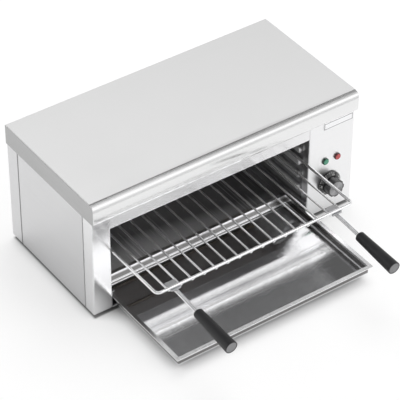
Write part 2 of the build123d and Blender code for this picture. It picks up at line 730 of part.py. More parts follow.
def make_handle_plate(x):
    """Weld plate between two wires, under the frame's front rod."""
    half = PLATE_WIDTH / 2
    plate = block(x - half, x + half, PLATE_FRONT, PLATE_FRONT + PLATE_LENGTH, PLATE_BOTTOM, PLATE_TOP)
    return fillet(plate.edges().filter_by(Axis.Z), PLATE_CORNER)


def drooped(shape, x):
    """Shape drawn level, turned down about the bend in its handle's stems."""
    return shape.rotate(Axis((x, STEM_TURN, STEM_AXIS), (1, 0, 0)), HANDLE_DROOP)


def make_handle_rods(x):
    """Two stems side by side, from under the plate, bent down a little, into the grip."""
    slope = math.radians(HANDLE_DROOP)
    run = STEM_TURN - GRIP_NEAR_END + STEM_IN_GRIP
    end_y = STEM_TURN - run * math.cos(slope)
    end_z = STEM_AXIS - run * math.sin(slope)
    stems = []
    for offset in (-STEM_SPACING / 2, STEM_SPACING / 2):
        route = [
            (x + offset, STEM_START, STEM_AXIS),
            (x + offset, STEM_TURN, STEM_AXIS),
            (x + offset, end_y, end_z),
        ]
        stems.append(bent_bar(route, STEM_BEND, STEM_ROD / 2))
    return stems


def make_grip(x):
    """Tapered handle grip with a rounded near end and a recess for its cap."""
    near = GRIP_NEAR_END
    far = GRIP_FAR_END
    recess_end = far + GRIP_CAP_INSET + GRIP_CAP_SHEET
    cap = GRIP_CAP / 2 + SEAT_CLEARANCE
    outline = [
        (0, near),
        (GRIP_NEAR / 2, near),
        (GRIP_FAR / 2, far),
        (cap, far),
        (cap, recess_end),
        (0, recess_end),
    ]
    grip = turned(outline, [0, GRIP_NEAR_ROUND, GRIP_FAR_ROUND, 0, 0, 0], x, STEM_AXIS)
    end = near - STEM_IN_GRIP - SEAT_CLEARANCE
    bore = STEM_ROD / 2 + SEAT_CLEARANCE
    for offset in (-STEM_SPACING / 2, STEM_SPACING / 2):
        start = (x + offset, near + DRILL, STEM_AXIS)
        grip -= round_bar(start, (x + offset, end, STEM_AXIS), bore)
    return drooped(grip, x)


def make_grip_cap(x):
    """Disc in the far end of the grip."""
    front = GRIP_FAR_END + GRIP_CAP_INSET
    cap = round_bar((x, front, STEM_AXIS), (x, front + GRIP_CAP_SHEET, STEM_AXIS), GRIP_CAP / 2)
    return drooped(cap, x)


# ---- heating

def element_middles():
    """Y of the middle of each hairpin."""
    half = ELEMENT_PAIR_SPACING / 2
    return [ELEMENT_MIDDLE - half, ELEMENT_MIDDLE + half]


def element_leg_places():
    """Y of each of the four legs."""
    half = ELEMENT_LEG_SPACING / 2
    return [y + side * half for y in element_middles() for side in (-1, 1)]


def make_element(y):
    """Hairpin heating element, its two ends passing into the control compartment."""
    half = ELEMENT_LEG_SPACING / 2
    left = WALL_LEFT + ELEMENT_END_GAP + ELEMENT_ROD / 2
    route = [
        (ELEMENT_END, y - half, ELEMENT_HEIGHT),
        (left, y - half, ELEMENT_HEIGHT),
        (left, y + half, ELEMENT_HEIGHT),
        (ELEMENT_END, y + half, ELEMENT_HEIGHT),
    ]
    return bent_bar(route, half - ELEMENT_BEND_FLAT / 2, ELEMENT_ROD / 2)


def make_hanger(x):
    """Strap hung from the ceiling, holed for the four legs."""
    legs = element_leg_places()
    front = min(legs) - HANGER_MARGIN
    back = max(legs) + HANGER_MARGIN
    flange_bottom = CEILING_HEIGHT - HANGER_SHEET
    web = block(x, x + HANGER_SHEET, front, back, CEILING_HEIGHT - HANGER_DROP, CEILING_HEIGHT)
    web += block(x, x + HANGER_FLANGE, front, back, flange_bottom, CEILING_HEIGHT)
    hole = ELEMENT_ROD / 2 + HANGER_CLEARANCE
    for y in legs:
        web -= hole_along_x(x, y, ELEMENT_HEIGHT, hole, HANGER_SHEET)
    return web


def make_bushing(y):
    """Flanged sleeve that carries one leg through the liner."""
    flange_face = WALL_RIGHT - BUSHING_FLANGE_SHEET
    shank_end = WALL_RIGHT + BUSHING_LENGTH
    z = ELEMENT_HEIGHT
    sleeve = round_bar((flange_face, y, z), (WALL_RIGHT, y, z), BUSHING_FLANGE / 2)
    sleeve += round_bar((WALL_RIGHT, y, z), (shank_end, y, z), BUSHING_SHANK / 2 - SEAT_CLEARANCE)
    bore = ELEMENT_ROD / 2 + SEAT_CLEARANCE
    return sleeve - round_bar((flange_face - DRILL, y, z), (shank_end + DRILL, y, z), bore)


def make_bushing_nut(y):
    """Nut that clamps the sleeve to the liner from the compartment's side."""
    face = WALL_RIGHT + LINER_SHEET
    z = ELEMENT_HEIGHT
    nut = hex_bar((face, y, z), (face + BUSHING_NUT_SHEET, y, z), BUSHING_NUT)
    return nut - hole_along_x(face, y, z, BUSHING_SHANK / 2, BUSHING_NUT_SHEET)


def make_insulator(y):
    """Ceramic bead at the end of one leg."""
    end = ELEMENT_END + INSULATOR_LENGTH
    return round_bar((ELEMENT_END, y, ELEMENT_HEIGHT), (end, y, ELEMENT_HEIGHT), INSULATOR_ROD / 2)


def make_element_pin(y):
    """Terminal pin standing out of the bead."""
    start = ELEMENT_END + INSULATOR_LENGTH
    return round_bar((start, y, ELEMENT_HEIGHT), (start + PIN_LENGTH, y, ELEMENT_HEIGHT), PIN_ROD / 2)


# ---- thermostat, knob and sensor

def make_thermostat_body():
    """Regulator behind the panel, bored for the spindle."""
    x0 = KNOB_X - THERMOSTAT_WIDTH / 2
    x1 = KNOB_X + THERMOSTAT_WIDTH / 2
    z0 = KNOB_HEIGHT - THERMOSTAT_HEIGHT / 2
    z1 = KNOB_HEIGHT + THERMOSTAT_HEIGHT / 2
    body = block(x0, x1, PANEL_BACK, PANEL_BACK + THERMOSTAT_DEPTH, z0, z1)
    body = fillet(body.edges().filter_by(Axis.Y), THERMOSTAT_CORNER)
    end = (KNOB_X, PANEL_BACK + SPINDLE_IN_BODY + SHEET, KNOB_HEIGHT)
    body -= round_bar((KNOB_X, FRONT, KNOB_HEIGHT), end, SPINDLE_ROD / 2 + SPINDLE_CLEARANCE)
    for seat in thermostat_screw_places():
        body -= screw_hole(seat, (0, 1, 0))
    return body


def spindle_section(grow):
    """D-shaped section of the spindle, made larger all round by grow."""
    section = Circle(SPINDLE_ROD / 2 + grow)
    flat = SPINDLE_FLAT + grow
    return section - Pos(0, flat + SPINDLE_ROD) * Rectangle(4 * SPINDLE_ROD, 2 * SPINDLE_ROD)


def make_spindle():
    """Round shaft with a flat along the stretch inside the cap."""
    tip = CAP_BACK - CAP_BORE_DEPTH
    end = (KNOB_X, PANEL_BACK + SPINDLE_IN_BODY, KNOB_HEIGHT)
    shaft = round_bar((KNOB_X, CAP_BACK, KNOB_HEIGHT), end, SPINDLE_ROD / 2)
    return shaft + lengthwise(Pos(KNOB_X, KNOB_HEIGHT) * spindle_section(0), tip, CAP_BACK)


def make_knob_skirt():
    """Conical graduated ring behind the cap, hollow at the back."""
    rim = SKIRT_DIAMETER / 2
    top = SKIRT_TOP_DIAMETER / 2
    shoulder = KNOB_BACK - SKIRT_RIM
    bore = SPINDLE_ROD / 2 + SEAT_CLEARANCE
    inside = CAP_BACK + SKIRT_WALL
    outline = [
        (bore, CAP_BACK),
        (top, CAP_BACK),
        (rim, shoulder),
        (rim, KNOB_BACK),
        (rim - SKIRT_WALL, KNOB_BACK),
        (rim - SKIRT_WALL, shoulder),
        (top, inside),
        (bore, inside),
    ]
    return turned(outline, 0, KNOB_X, KNOB_HEIGHT)


def make_knob_cap():
    """Lobed cap that the fingers turn, bored for the spindle and recessed for its face."""
    outline = Circle(CAP_DIAMETER / 2)
    reach = CAP_DIAMETER / 2 + CAP_SCALLOP - CAP_SCALLOP_DEPTH
    for i in range(CAP_LOBES):
        angle = 2 * math.pi * (i + 0.5) / CAP_LOBES
        outline -= Pos(reach * math.cos(angle), reach * math.sin(angle)) * Circle(CAP_SCALLOP)
    centre = Pos(KNOB_X, KNOB_HEIGHT)
    cap = lengthwise(centre * outline, CAP_FRONT, CAP_BACK)
    recess = centre * Circle(FACE_DIAMETER / 2 + SEAT_CLEARANCE)
    cap -= lengthwise(recess, CAP_FRONT - DRILL, CAP_FRONT + FACE_SHEET)
    bore_end = CAP_BACK - CAP_BORE_DEPTH - SEAT_CLEARANCE
    return cap - lengthwise(centre * spindle_section(SEAT_CLEARANCE), bore_end, CAP_BACK + DRILL)


def make_knob_face():
    """Bright disc let into the front of the cap."""
    disc = Pos(KNOB_X, KNOB_HEIGHT) * Circle(FACE_DIAMETER / 2)
    return lengthwise(disc, CAP_FRONT, CAP_FRONT + FACE_SHEET)


def make_knob_pointer():
    """Raised line on the face that points at the graduations."""
    middle = FACE_DIAMETER / 2 - POINTER_MARGIN - POINTER_LENGTH / 2
    bar = Pos(0, middle) * Rectangle(POINTER_WIDTH, POINTER_LENGTH)
    placed = Pos(KNOB_X, KNOB_HEIGHT) * Rot(0, 0, POINTER_ANGLE) * bar
    return lengthwise(placed, CAP_FRONT - POINTER_PROUD, CAP_FRONT)


def make_sensor_bulb():
    """Sensing bulb along the right wall of the grill space."""
    bulb = round_bar((BULB_X, BULB_START, BULB_HEIGHT), (BULB_X, BULB_END, BULB_HEIGHT), BULB_ROD / 2)
    return fillet(bulb.edges(), BULB_ROUND)


def make_bulb_clip(y):
    """Strap round the bulb, its back against the liner."""
    ring = BULB_ROD / 2 + SEAT_CLEARANCE
    clip = round_bar((BULB_X, y, BULB_HEIGHT), (BULB_X, y + CLIP_WIDTH, BULB_HEIGHT), ring + CLIP_SHEET)
    clip += block(BULB_X, WALL_RIGHT, y, y + CLIP_WIDTH, BULB_HEIGHT - CLIP_SHEET, BULB_HEIGHT + CLIP_SHEET)
    tab = 2 * ring
    clip += block(WALL_RIGHT - CLIP_SHEET, WALL_RIGHT, y, y + CLIP_WIDTH, BULB_HEIGHT - tab, BULB_HEIGHT + tab)
    return clip - hole_along_y(BULB_X, y, BULB_HEIGHT, ring, CLIP_WIDTH)


def make_capillary():
    """Thin tube from the bulb through the liner and down to the regulator."""
    entry = KNOB_HEIGHT + CAPILLARY_RISE
    turn = FRONT + 3 * THERMOSTAT_DEPTH
    route = [
        (BULB_X, BULB_END, BULB_HEIGHT),
        (BULB_X, CAPILLARY_Y, BULB_HEIGHT),
        (KNOB_X, CAPILLARY_Y, BULB_HEIGHT),
        (KNOB_X, turn, BULB_HEIGHT),
        (KNOB_X, turn, entry),
        (KNOB_X, PANEL_BACK + THERMOSTAT_DEPTH, entry),
    ]
    return bent_bar(route, CAPILLARY_BEND, CAPILLARY_ROD / 2)


# ---- pilot lamps

def make_pilot_lens(x):
    """Domed lens standing on the panel."""
    face = FRONT - LENS_DEPTH
    lens = round_bar((x, face, PILOT_HEIGHT), (x, FRONT, PILOT_HEIGHT), LENS_DIAMETER / 2)
    return fillet(lens.edges().sort_by(Axis.Y)[0], LENS_DEPTH - LENS_RIM)


def make_lamp_body(x):
    """Lamp barrel behind its lens, with two blade terminals."""
    end = FRONT + LAMP_LENGTH
    body = round_bar((x, FRONT, PILOT_HEIGHT), (x, end, PILOT_HEIGHT), LAMP_BODY / 2)
    half_sheet = LAMP_TAG_SHEET / 2
    z0 = PILOT_HEIGHT - LAMP_TAG_WIDTH / 2
    z1 = PILOT_HEIGHT + LAMP_TAG_WIDTH / 2
    for tag in (x - LAMP_BODY / 4, x + LAMP_BODY / 4):
        body += block(tag - half_sheet, tag + half_sheet, end, end + LAMP_TAG_LENGTH, z0, z1)
    return body


def make_lamp_nut(x):
    """Nut that clamps one lamp behind the panel."""
    end = PANEL_BACK + LAMP_NUT_SHEET
    nut = hex_bar((x, PANEL_BACK, PILOT_HEIGHT), (x, end, PILOT_HEIGHT), LAMP_NUT)
    bore = LAMP_BODY / 2 + SEAT_CLEARANCE
    return nut - hole_along_y(x, PANEL_BACK, PILOT_HEIGHT, bore, LAMP_NUT_SHEET)


# ---- electrics

def make_terminal_block():
    """Mains terminal block on the base plate, with a screw well for each way."""
    x0 = TERMINAL_X - TERMINAL_WIDTH / 2
    y0 = TERMINAL_Y - TERMINAL_DEPTH / 2
    top = FLOOR_TOP + TERMINAL_HEIGHT
    body = block(x0, x0 + TERMINAL_WIDTH, y0, y0 + TERMINAL_DEPTH, FLOOR_TOP, top)
    body = fillet(body.edges().filter_by(Axis.Z), TERMINAL_CORNER)
    pitch = TERMINAL_WIDTH / TERMINAL_WAYS
    for i in range(TERMINAL_WAYS):
        x = x0 + (i + 0.5) * pitch
        body -= hole_along_z(x, TERMINAL_Y, top + DRILL - TERMINAL_WELL, pitch / 4, TERMINAL_WELL)
    return body


def terminal_way(i):
    """X of one way of the terminal block."""
    return TERMINAL_X + (i - (TERMINAL_WAYS - 1) / 2) * TERMINAL_WIDTH / TERMINAL_WAYS


def make_cable_gland():
    """Cable entry on the back: hexagon, clamping dome and thread, bored right through."""
    y = BACK + GLAND_SEAL_SHEET
    x = GLAND_X
    z = GLAND_HEIGHT
    gland = hex_bar((x, y, z), (x, y + GLAND_HEX_SHEET, z), GLAND_HEX)
    dome_start = y + GLAND_HEX_SHEET
    dome_end = dome_start + GLAND_DOME_LENGTH
    thread_end = BACK - GLAND_THREAD_LENGTH
    dome = round_bar((x, dome_start, z), (x, dome_end, z), GLAND_DOME / 2)
    gland += fillet(dome.edges().sort_by(Axis.Y)[-1], GLAND_DOME_ROUND)
    gland += round_bar((x, y, z), (x, thread_end, z), GLAND_THREAD / 2)
    return gland - hole_along_y(x, thread_end, z, GLAND_BORE / 2, dome_end - thread_end)


def make_gland_seal():
    """Rubber washer between the gland and the rear panel."""
    z = GLAND_HEIGHT
    seal = round_bar((GLAND_X, BACK, z), (GLAND_X, BACK + GLAND_SEAL_SHEET, z), GLAND_HEX / 2)
    return seal - hole_along_y(GLAND_X, BACK, z, GLAND_THREAD / 2 + SEAT_CLEARANCE)


def make_gland_nut():
    """Lock nut inside the rear panel."""
    y = BACK - SHEET
    z = GLAND_HEIGHT
    nut = hex_bar((GLAND_X, y - GLAND_NUT_SHEET, z), (GLAND_X, y, z), GLAND_HEX)
    return nut - hole_along_y(GLAND_X, y, z, GLAND_THREAD / 2 + SEAT_CLEARANCE)


def earth_place(z):
    """Point on the earth stud's axis."""
    return (TERMINAL_X, TERMINAL_Y - 2 * TERMINAL_DEPTH, z)


def make_earth_stud():
    """Stud through the base plate with its nut on top."""
    top = FLOOR_TOP + EARTH_STUD_LENGTH
    stud = round_bar(earth_place(FOOT_HEIGHT), earth_place(top), EARTH_STUD / 2)
    return stud + hex_bar(earth_place(FLOOR_TOP), earth_place(FLOOR_TOP + EARTH_NUT_SHEET), EARTH_NUT)


def make_internal_wires():
    """Leads: mains to the regulator, hairpin to hairpin and hairpin to mains."""
    block_top = FLOOR_TOP + TERMINAL_HEIGHT
    body_back = PANEL_BACK + THERMOSTAT_DEPTH
    low = KNOB_HEIGHT - LEAD_DROP
    feed = [
        (terminal_way(0), TERMINAL_Y, block_top - TERMINAL_WELL),
        (terminal_way(0), TERMINAL_Y, low),
        (terminal_way(0), body_back, low),
    ]
    legs = element_leg_places()
    pin_end = ELEMENT_END + INSULATOR_LENGTH + PIN_LENGTH
    edge = SIDE - LEAD_FROM_SIDE
    link = [
        (pin_end, legs[1], ELEMENT_HEIGHT),
        (edge, legs[1], ELEMENT_HEIGHT),
        (edge, legs[2], ELEMENT_HEIGHT),
        (pin_end, legs[2], ELEMENT_HEIGHT),
    ]
    mains = [
        (pin_end, legs[3], ELEMENT_HEIGHT),
        (edge, legs[3], ELEMENT_HEIGHT),
        (edge, legs[3], block_top + 2 * LEAD_BEND),
        (terminal_way(2), legs[3], block_top + 2 * LEAD_BEND),
        (terminal_way(2), legs[3], block_top),
    ]
    return [bent_bar(route, LEAD_BEND - LEAD_SLACK, WIRE_LEAD / 2) for route in (feed, link, mains)]


def main():
    """Build every node."""
    os.makedirs("parts", exist_ok=True)
    write("lid", make_lid())
    write("left_pillar", make_left_pillar())
    write("control_panel", make_control_panel())
    write("lintel", make_lintel())
    write("left_side_panel", make_side_panel(-1))
    write("right_side_panel", make_side_panel(1))
    write("rear_panel", make_rear_panel())
    write("base_plate", make_base_plate())
    write("feet", *[make_foot(x, y) for x, y in foot_places()])
    write("foot_screws", *[make_foot_screw(x, y) for x, y in foot_places()])
    write("foot_nuts", *[make_foot_nut(x, y) for x, y in foot_places()])
    write("name_plate", make_name_plate())
    write("lid_screws", *[pan_screw(seat, (0, -1, 0)) for seat in lid_screw_places()])
    write("rear_panel_screws", *[pan_screw(seat, (0, -1, 0)) for seat in rear_screw_places()])

    write("left_liner", make_liner(-1))
    write("right_liner", make_liner(1))
    write("cavity_back", make_cavity_back())
    write("cavity_ceiling", make_cavity_ceiling())
    write("left_tray_guide", make_tray_guide(-1))
    write("right_tray_guide", make_tray_guide(1))
    write("crumb_tray", make_crumb_tray())

    write("rack_frame", make_rack_frame())
    write("rack_wires", *make_rack_wires())
    for side, x in (("left", LEFT_HANDLE), ("right", RIGHT_HANDLE)):
        write(f"{side}_handle_plate", make_handle_plate(x))
        write(f"{side}_handle_rods", *make_handle_rods(x))
        write(f"{side}_grip", make_grip(x))
        write(f"{side}_grip_cap", make_grip_cap(x))

    front_middle, rear_middle = element_middles()
    legs = element_leg_places()
    write("front_heating_element", make_element(front_middle))
    write("rear_heating_element", make_element(rear_middle))
    hanger_ends = (WALL_LEFT + HANGER_FROM_WALL, WALL_RIGHT - HANGER_FROM_WALL)
    write("element_hangers", *[make_hanger(x) for x in spread(HANGER_COUNT, *hanger_ends)])
    write("element_bushings", *[make_bushing(y) for y in legs])
    write("element_nuts", *[make_bushing_nut(y) for y in legs])
    write("element_insulators", *[make_insulator(y) for y in legs])
    write("element_pins", *[make_element_pin(y) for y in legs])

    write("thermostat_body", make_thermostat_body())
    write("thermostat_spindle", make_spindle())
    screw_places = thermostat_screw_places()
    write("thermostat_screws", *[pan_screw(seat, (0, 1, 0)) for seat in screw_places])
    write("knob_skirt", make_knob_skirt())
    write("knob_cap", make_knob_cap())
    write("knob_face", make_knob_face())
    write("knob_pointer", make_knob_pointer())
    write("sensor_bulb", make_sensor_bulb())
    clip_places = (BULB_START + CLIP_FROM_END, BULB_END - CLIP_FROM_END - CLIP_WIDTH)
    write("bulb_clips", *[make_bulb_clip(y) for y in clip_places])
    write("capillary_tube", make_capillary())

    write("green_pilot_lens", make_pilot_lens(GREEN_X))
    write("red_pilot_lens", make_pilot_lens(RED_X))
    write("pilot_lamp_bodies", make_lamp_body(GREEN_X), make_lamp_body(RED_X))
    write("pilot_lamp_nuts", make_lamp_nut(GREEN_X), make_lamp_nut(RED_X))
    write("terminal_block", make_terminal_block())
    write("cable_gland", make_cable_gland())
    write("gland_nut", make_gland_nut())
    write("gland_seal", make_gland_seal())
    write("earth_stud", make_earth_stud())
    write("internal_wires", *make_internal_wires())


main()
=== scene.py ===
import logging
import math
from abc import ABC, abstractmethod
from dataclasses import dataclass
from enum import Enum

import bpy
from mathutils import Matrix, Vector


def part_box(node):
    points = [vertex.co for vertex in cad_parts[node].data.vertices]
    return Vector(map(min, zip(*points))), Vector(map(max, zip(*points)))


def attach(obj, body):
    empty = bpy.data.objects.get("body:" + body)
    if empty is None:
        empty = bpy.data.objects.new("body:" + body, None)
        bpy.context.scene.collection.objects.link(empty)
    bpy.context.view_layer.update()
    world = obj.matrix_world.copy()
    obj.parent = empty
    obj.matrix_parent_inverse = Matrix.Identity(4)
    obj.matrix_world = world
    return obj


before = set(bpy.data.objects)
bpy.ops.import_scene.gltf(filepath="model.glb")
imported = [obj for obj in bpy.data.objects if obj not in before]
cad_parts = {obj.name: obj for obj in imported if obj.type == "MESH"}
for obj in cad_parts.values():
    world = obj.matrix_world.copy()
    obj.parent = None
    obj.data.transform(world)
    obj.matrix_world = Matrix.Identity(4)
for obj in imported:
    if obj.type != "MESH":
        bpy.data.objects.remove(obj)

# Countertop cheese melter on a white sweep: stainless cabinet, chromed wire rack with two black
# grips, polished crumb tray, and a graduated thermostat knob. Metres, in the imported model's frame.

Rgb = tuple[float, float, float]
Span = tuple[float, float, float]
Pair = tuple[float, float]
Socket = bpy.types.NodeSocket
Piece = bpy.types.Object
Surface = bpy.types.Material

log = logging.getLogger("melter")
WHITE = (1.0, 1.0, 1.0)
MARK_DETAIL = 2.0
FACING = (0.6, 0.4)
TURNED = (0.7, 0.3)


def toned(colour: Rgb, by: float) -> Rgb:
    """Makes a colour lighter or darker, with no part over 1."""
    return tuple(min(1.0, part * by) for part in colour)


# ---- shader trees

class Value:
    """A number that varies over a surface, worked with by ordinary arithmetic."""

    def __init__(self, tree: "Tree", socket: Socket) -> None:
        """Keeps the socket and the tree that it belongs to.

        Args:
            tree: The tree that new Math nodes go into.
            socket: The output that carries the number.
        """
        self.tree = tree
        self.socket = socket

    def maths(self, operation: str, *others: "Value | float") -> "Value":
        """Adds one Math node.

        Args:
            operation: The Math node's operation.
            others: The operands after this one.

        Returns:
            The node's result.
        """
        operands = dict(enumerate((self, *others)))
        made = self.tree.node("ShaderNodeMath", {"operation": operation}, operands)
        return Value(self.tree, made.outputs[0])

    def __add__(self, other: "Value | float") -> "Value":
        """Sum."""
        return self.maths("ADD", other)

    def __radd__(self, other: float) -> "Value":
        """Sum, reflected."""
        return self.maths("ADD", other)

    def __sub__(self, other: "Value | float") -> "Value":
        """Difference."""
        return self.maths("SUBTRACT", other)

    def __rsub__(self, other: float) -> "Value":
        """Difference, reflected."""
        return (self * -1.0) + other

    def __mul__(self, other: "Value | float") -> "Value":
        """Product."""
        return self.maths("MULTIPLY", other)

    def __truediv__(self, other: "Value | float") -> "Value":
        """Quotient."""
        return self.maths("DIVIDE", other)

    def __pow__(self, power: float) -> "Value":
        """The number's size, raised to a power."""
        return abs(self).maths("POWER", power)

    def __abs__(self) -> "Value":
        """Size without its sign."""
        return self.maths("ABSOLUTE")

    def held(self) -> "Value":
        """The number kept between 0 and 1."""
        return self.maths("MAXIMUM", 0.0).maths("MINIMUM", 1.0)

    def over(self, edge: float, width: float) -> "Value":
        """A soft step of that width, 0 below the edge and 1 above it."""
        return ((self - edge) / width + 0.5).held()

    def near(self, place: float, width: float) -> "Value":
        """A soft band, 1 at its place and 0 from that width onwards."""
        return (1.0 - abs(self - place) / width).held()


Number = Value | float


class Tree:
    """A node tree that is built through one method."""

    def __init__(self, nodes: bpy.types.NodeTree) -> None:
        """Takes over an empty tree.

        Args:
            nodes: The Blender node tree.
        """
        self.nodes = nodes
        self.nodes.nodes.clear()

    def node(
        self, kind: str, settings: dict | None = None, sockets: dict | None = None,
    ) -> bpy.types.Node:
        """Adds a node, sets it up and connects it.

        Args:
            kind: The node's type.
            settings: The node's own settings, set before its sockets; "stops" fills a ramp.
            sockets: Values, sockets or Value objects by the input's name or number.

        Returns:
            The node.
        """
        made = self.nodes.nodes.new(kind)
        for key, setting in (settings or {}).items():
            if key == "stops":
                self.fill_ramp(made.color_ramp, setting)
            else:
                setattr(made, key, setting)
        for key, given in (sockets or {}).items():
            entry = made.inputs[key]
            if isinstance(given, Value):
                self.nodes.links.new(given.socket, entry)
            elif isinstance(given, Socket):
                self.nodes.links.new(given, entry)
            elif entry.type == "RGBA":
                entry.default_value = (*given, 1.0)
            else:
                entry.default_value = given
        return made

    def fill_ramp(self, ramp: bpy.types.ColorRamp, stops: list[tuple[float, Rgb]]) -> None:
        """Puts a ramp's stops in place.

        Args:
            ramp: The ramp, with its two first stops.
            stops: Place and colour of each stop, in order.
        """
        while len(ramp.elements) < len(stops):
            ramp.elements.new(0.5)
        for element, (place, colour) in zip(ramp.elements, stops):
            element.position = place
            element.color = (*colour, 1.0)

    def value(
        self, kind: str, output: int | str, settings: dict | None = None,
        sockets: dict | None = None,
    ) -> Value:
        """Adds a node, as node does, and takes one of its outputs as a number."""
        return Value(self, self.node(kind, settings, sockets).outputs[output])

    def mixed(self, factor: Number, first: object, second: object) -> Socket:
        """Mixes two colours, where the factor is how much of the second there is."""
        held = {"data_type": "RGBA", "clamp_factor": True}
        return self.node("ShaderNodeMix", held, {0: factor, 6: first, 7: second}).outputs[2]

    def scaled(self, colour: object, by: Number) -> Socket:
        """Makes a colour or vector stronger or weaker."""
        return self.vector("SCALE", {0: colour, 3: by}).outputs[0]

    def vector(self, operation: str, sockets: dict) -> bpy.types.Node:
        """Adds one Vector Math node."""
        return self.node("ShaderNodeVectorMath", {"operation": operation}, sockets)

    def split(self, vector: Socket) -> tuple[Value, Value, Value]:
        """Splits a vector into X, Y and Z."""
        parted = self.node("ShaderNodeSeparateXYZ", None, {0: vector})
        return tuple(Value(self, out) for out in parted.outputs)


class Along(Enum):
    """Which way the grain of a sheet runs."""

    ROUND = "level, all the way round the cabinet"
    DEPTH = "front to back"
    NONE = "no direction"


class Paint(Tree):
    """A material's tree: place, patterns, and the shader at the end."""

    edge_gain: float = 6.0

    def __init__(self, name: str) -> None:
        """Makes the material with an empty tree.

        Args:
            name: The material's name.
        """
        self.material = bpy.data.materials.new(name)
        self.material.use_nodes = True
        super().__init__(self.material.node_tree)
        self.spot = self.node("ShaderNodeTexCoord").outputs["Object"]
        self.facing = self.node("ShaderNodeNewGeometry").outputs["Normal"]
        self.normal = self.facing

    def place(self) -> tuple[Value, Value, Value]:
        """The place on the object, as X, Y and Z."""
        return self.split(self.spot)

    def faced(self) -> tuple[Value, Value, Value]:
        """The way that the surface faces, as X, Y and Z."""
        return self.split(self.facing)

    def about(self, centre: Span) -> tuple[Value, Value, Value]:
        """The place round an axis along Y.

        Args:
            centre: A point on the axis.

        Returns:
            How far it is to the right of the axis, above it and away from it.
        """
        across, _, height = self.place()
        right, up = across - centre[0], height - centre[2]
        return right, up, (right * right + up * up) ** 0.5

    def stretched(self, scale: Span | float, shift: Span = (0.0, 0.0, 0.0)) -> Socket:
        """The place, scaled for a pattern.

        Args:
            scale: Repeats per metre, along X, Y and Z or the same all ways.
            shift: Moves the pattern.

        Returns:
            The scaled place.
        """
        if isinstance(scale, float):
            scale = (scale,) * 3
        sockets = {"Vector": self.spot, "Location": shift, "Scale": scale}
        return self.node("ShaderNodeMapping", {"vector_type": "POINT"}, sockets).outputs[0]

    def noise(self, scale: Span | float, detail: float, shift: Span = (0.0, 0.0, 0.0)) -> Value:
        """Soft noise around 0.5.

        Args:
            scale: Lumps per metre, along X, Y and Z or the same all ways.
            detail: Octaves.
            shift: Moves the pattern, so that two of the same scale differ.

        Returns:
            The noise.
        """
        sockets = {"Vector": self.stretched(scale, shift), "Scale": 1.0, "Detail": detail}
        return self.value("ShaderNodeTexNoise", 0, {"noise_dimensions": "3D"}, sockets)

    def cells(self, scale: Span | float, feature: str = "F1") -> Value:
        """Distance from the nearest cell point or border, in cells."""
        sockets = {"Vector": self.stretched(scale), "Scale": 1.0}
        return self.value("ShaderNodeTexVoronoi", 0, {"feature": feature}, sockets)

    def grain(
        self, along: Along, width: float, length: float, shift: Span = (0.0, 0.0, 0.0),
    ) -> Value:
        """Brush marks that follow a sheet round its folds.

        Args:
            along: Which way they run.
            width: How wide a mark is.
            length: How long a mark is.
            shift: Moves the pattern.

        Returns:
            The marks, around 0.5.
        """
        over, on = 1.0 / width, 1.0 / length
        if along is Along.NONE:
            return self.noise(over, MARK_DETAIL, shift)
        side = self.noise((over, on, over), MARK_DETAIL, shift)
        if along is Along.DEPTH:
            return side
        front = self.noise((on, over, over), MARK_DETAIL, shift)
        sideways = abs(self.faced()[0]).over(0.7, 0.2)
        return front + (side - front) * sideways

    def edges(self, radius: float) -> Value:
        """Softens the edges in the shading, and finds where they are.

        Args:
            radius: How far an edge's rounding reaches.

        Returns:
            1 on an edge and 0 on a flat face.
        """
        self.normal = self.node("ShaderNodeBevel", {"samples": 4}, {"Radius": radius}).outputs[0]
        turned = self.vector("DOT_PRODUCT", {0: self.normal, 1: self.facing})
        return ((1.0 - Value(self, turned.outputs["Value"])) * self.edge_gain).held()

    def raised(self, height: Value, depth: float) -> None:
        """Adds relief to the shading, where a height of 1 stands for depth in metres."""
        sockets = {"Height": height, "Distance": depth, "Strength": 1.0, "Normal": self.normal}
        self.normal = self.node("ShaderNodeBump", None, sockets).outputs[0]

    def leant(self, across: Number, back: Number, up: Number = 0.0) -> None:
        """Tips the shading normal.

        Args:
            across: How far it tips along X, as a slope.
            back: How far it tips along Y, as a slope.
            up: How far it tips along Z, as a slope.
        """
        tip = self.node("ShaderNodeCombineXYZ", None, {0: across, 1: back, 2: up}).outputs[0]
        tipped = self.vector("ADD", {0: self.normal, 1: tip}).outputs[0]
        self.normal = self.vector("NORMALIZE", {0: tipped}).outputs[0]

    def coat(self, colour: object, rough: Number, metal: Number, **fixed: object) -> None:
        """Ends the tree with the surface shader.

        Args:
            colour: Base colour.
            rough: Roughness.
            metal: Metallic.
            fixed: Other sockets that are the same all over, by name with _ for a space.
        """
        sockets = {
            "Base Color": colour, "Roughness": rough, "Metallic": metal, "Normal": self.normal,
            **{key.replace("_", " "): given for key, given in fixed.items()},
        }
        shader = self.node("ShaderNodeBsdfPrincipled", None, sockets).outputs[0]
        self.node("ShaderNodeOutputMaterial", None, {"Surface": shader})


# ---- finishes

@dataclass(frozen=True)
class Finish(ABC):
    """A finish on some of the object's pieces."""

    name: str
    colour: Rgb
    rough: float
    edge: float = 0.0006

    @abstractmethod
    def lay(self, paint: Paint) -> None:
        """Builds the finish's tree."""

    def material(self) -> Surface:
        """Makes the Blender material.

        Returns:
            The material, with its whole tree.
        """
        paint = Paint(self.name)
        self.lay(paint)
        return paint.material


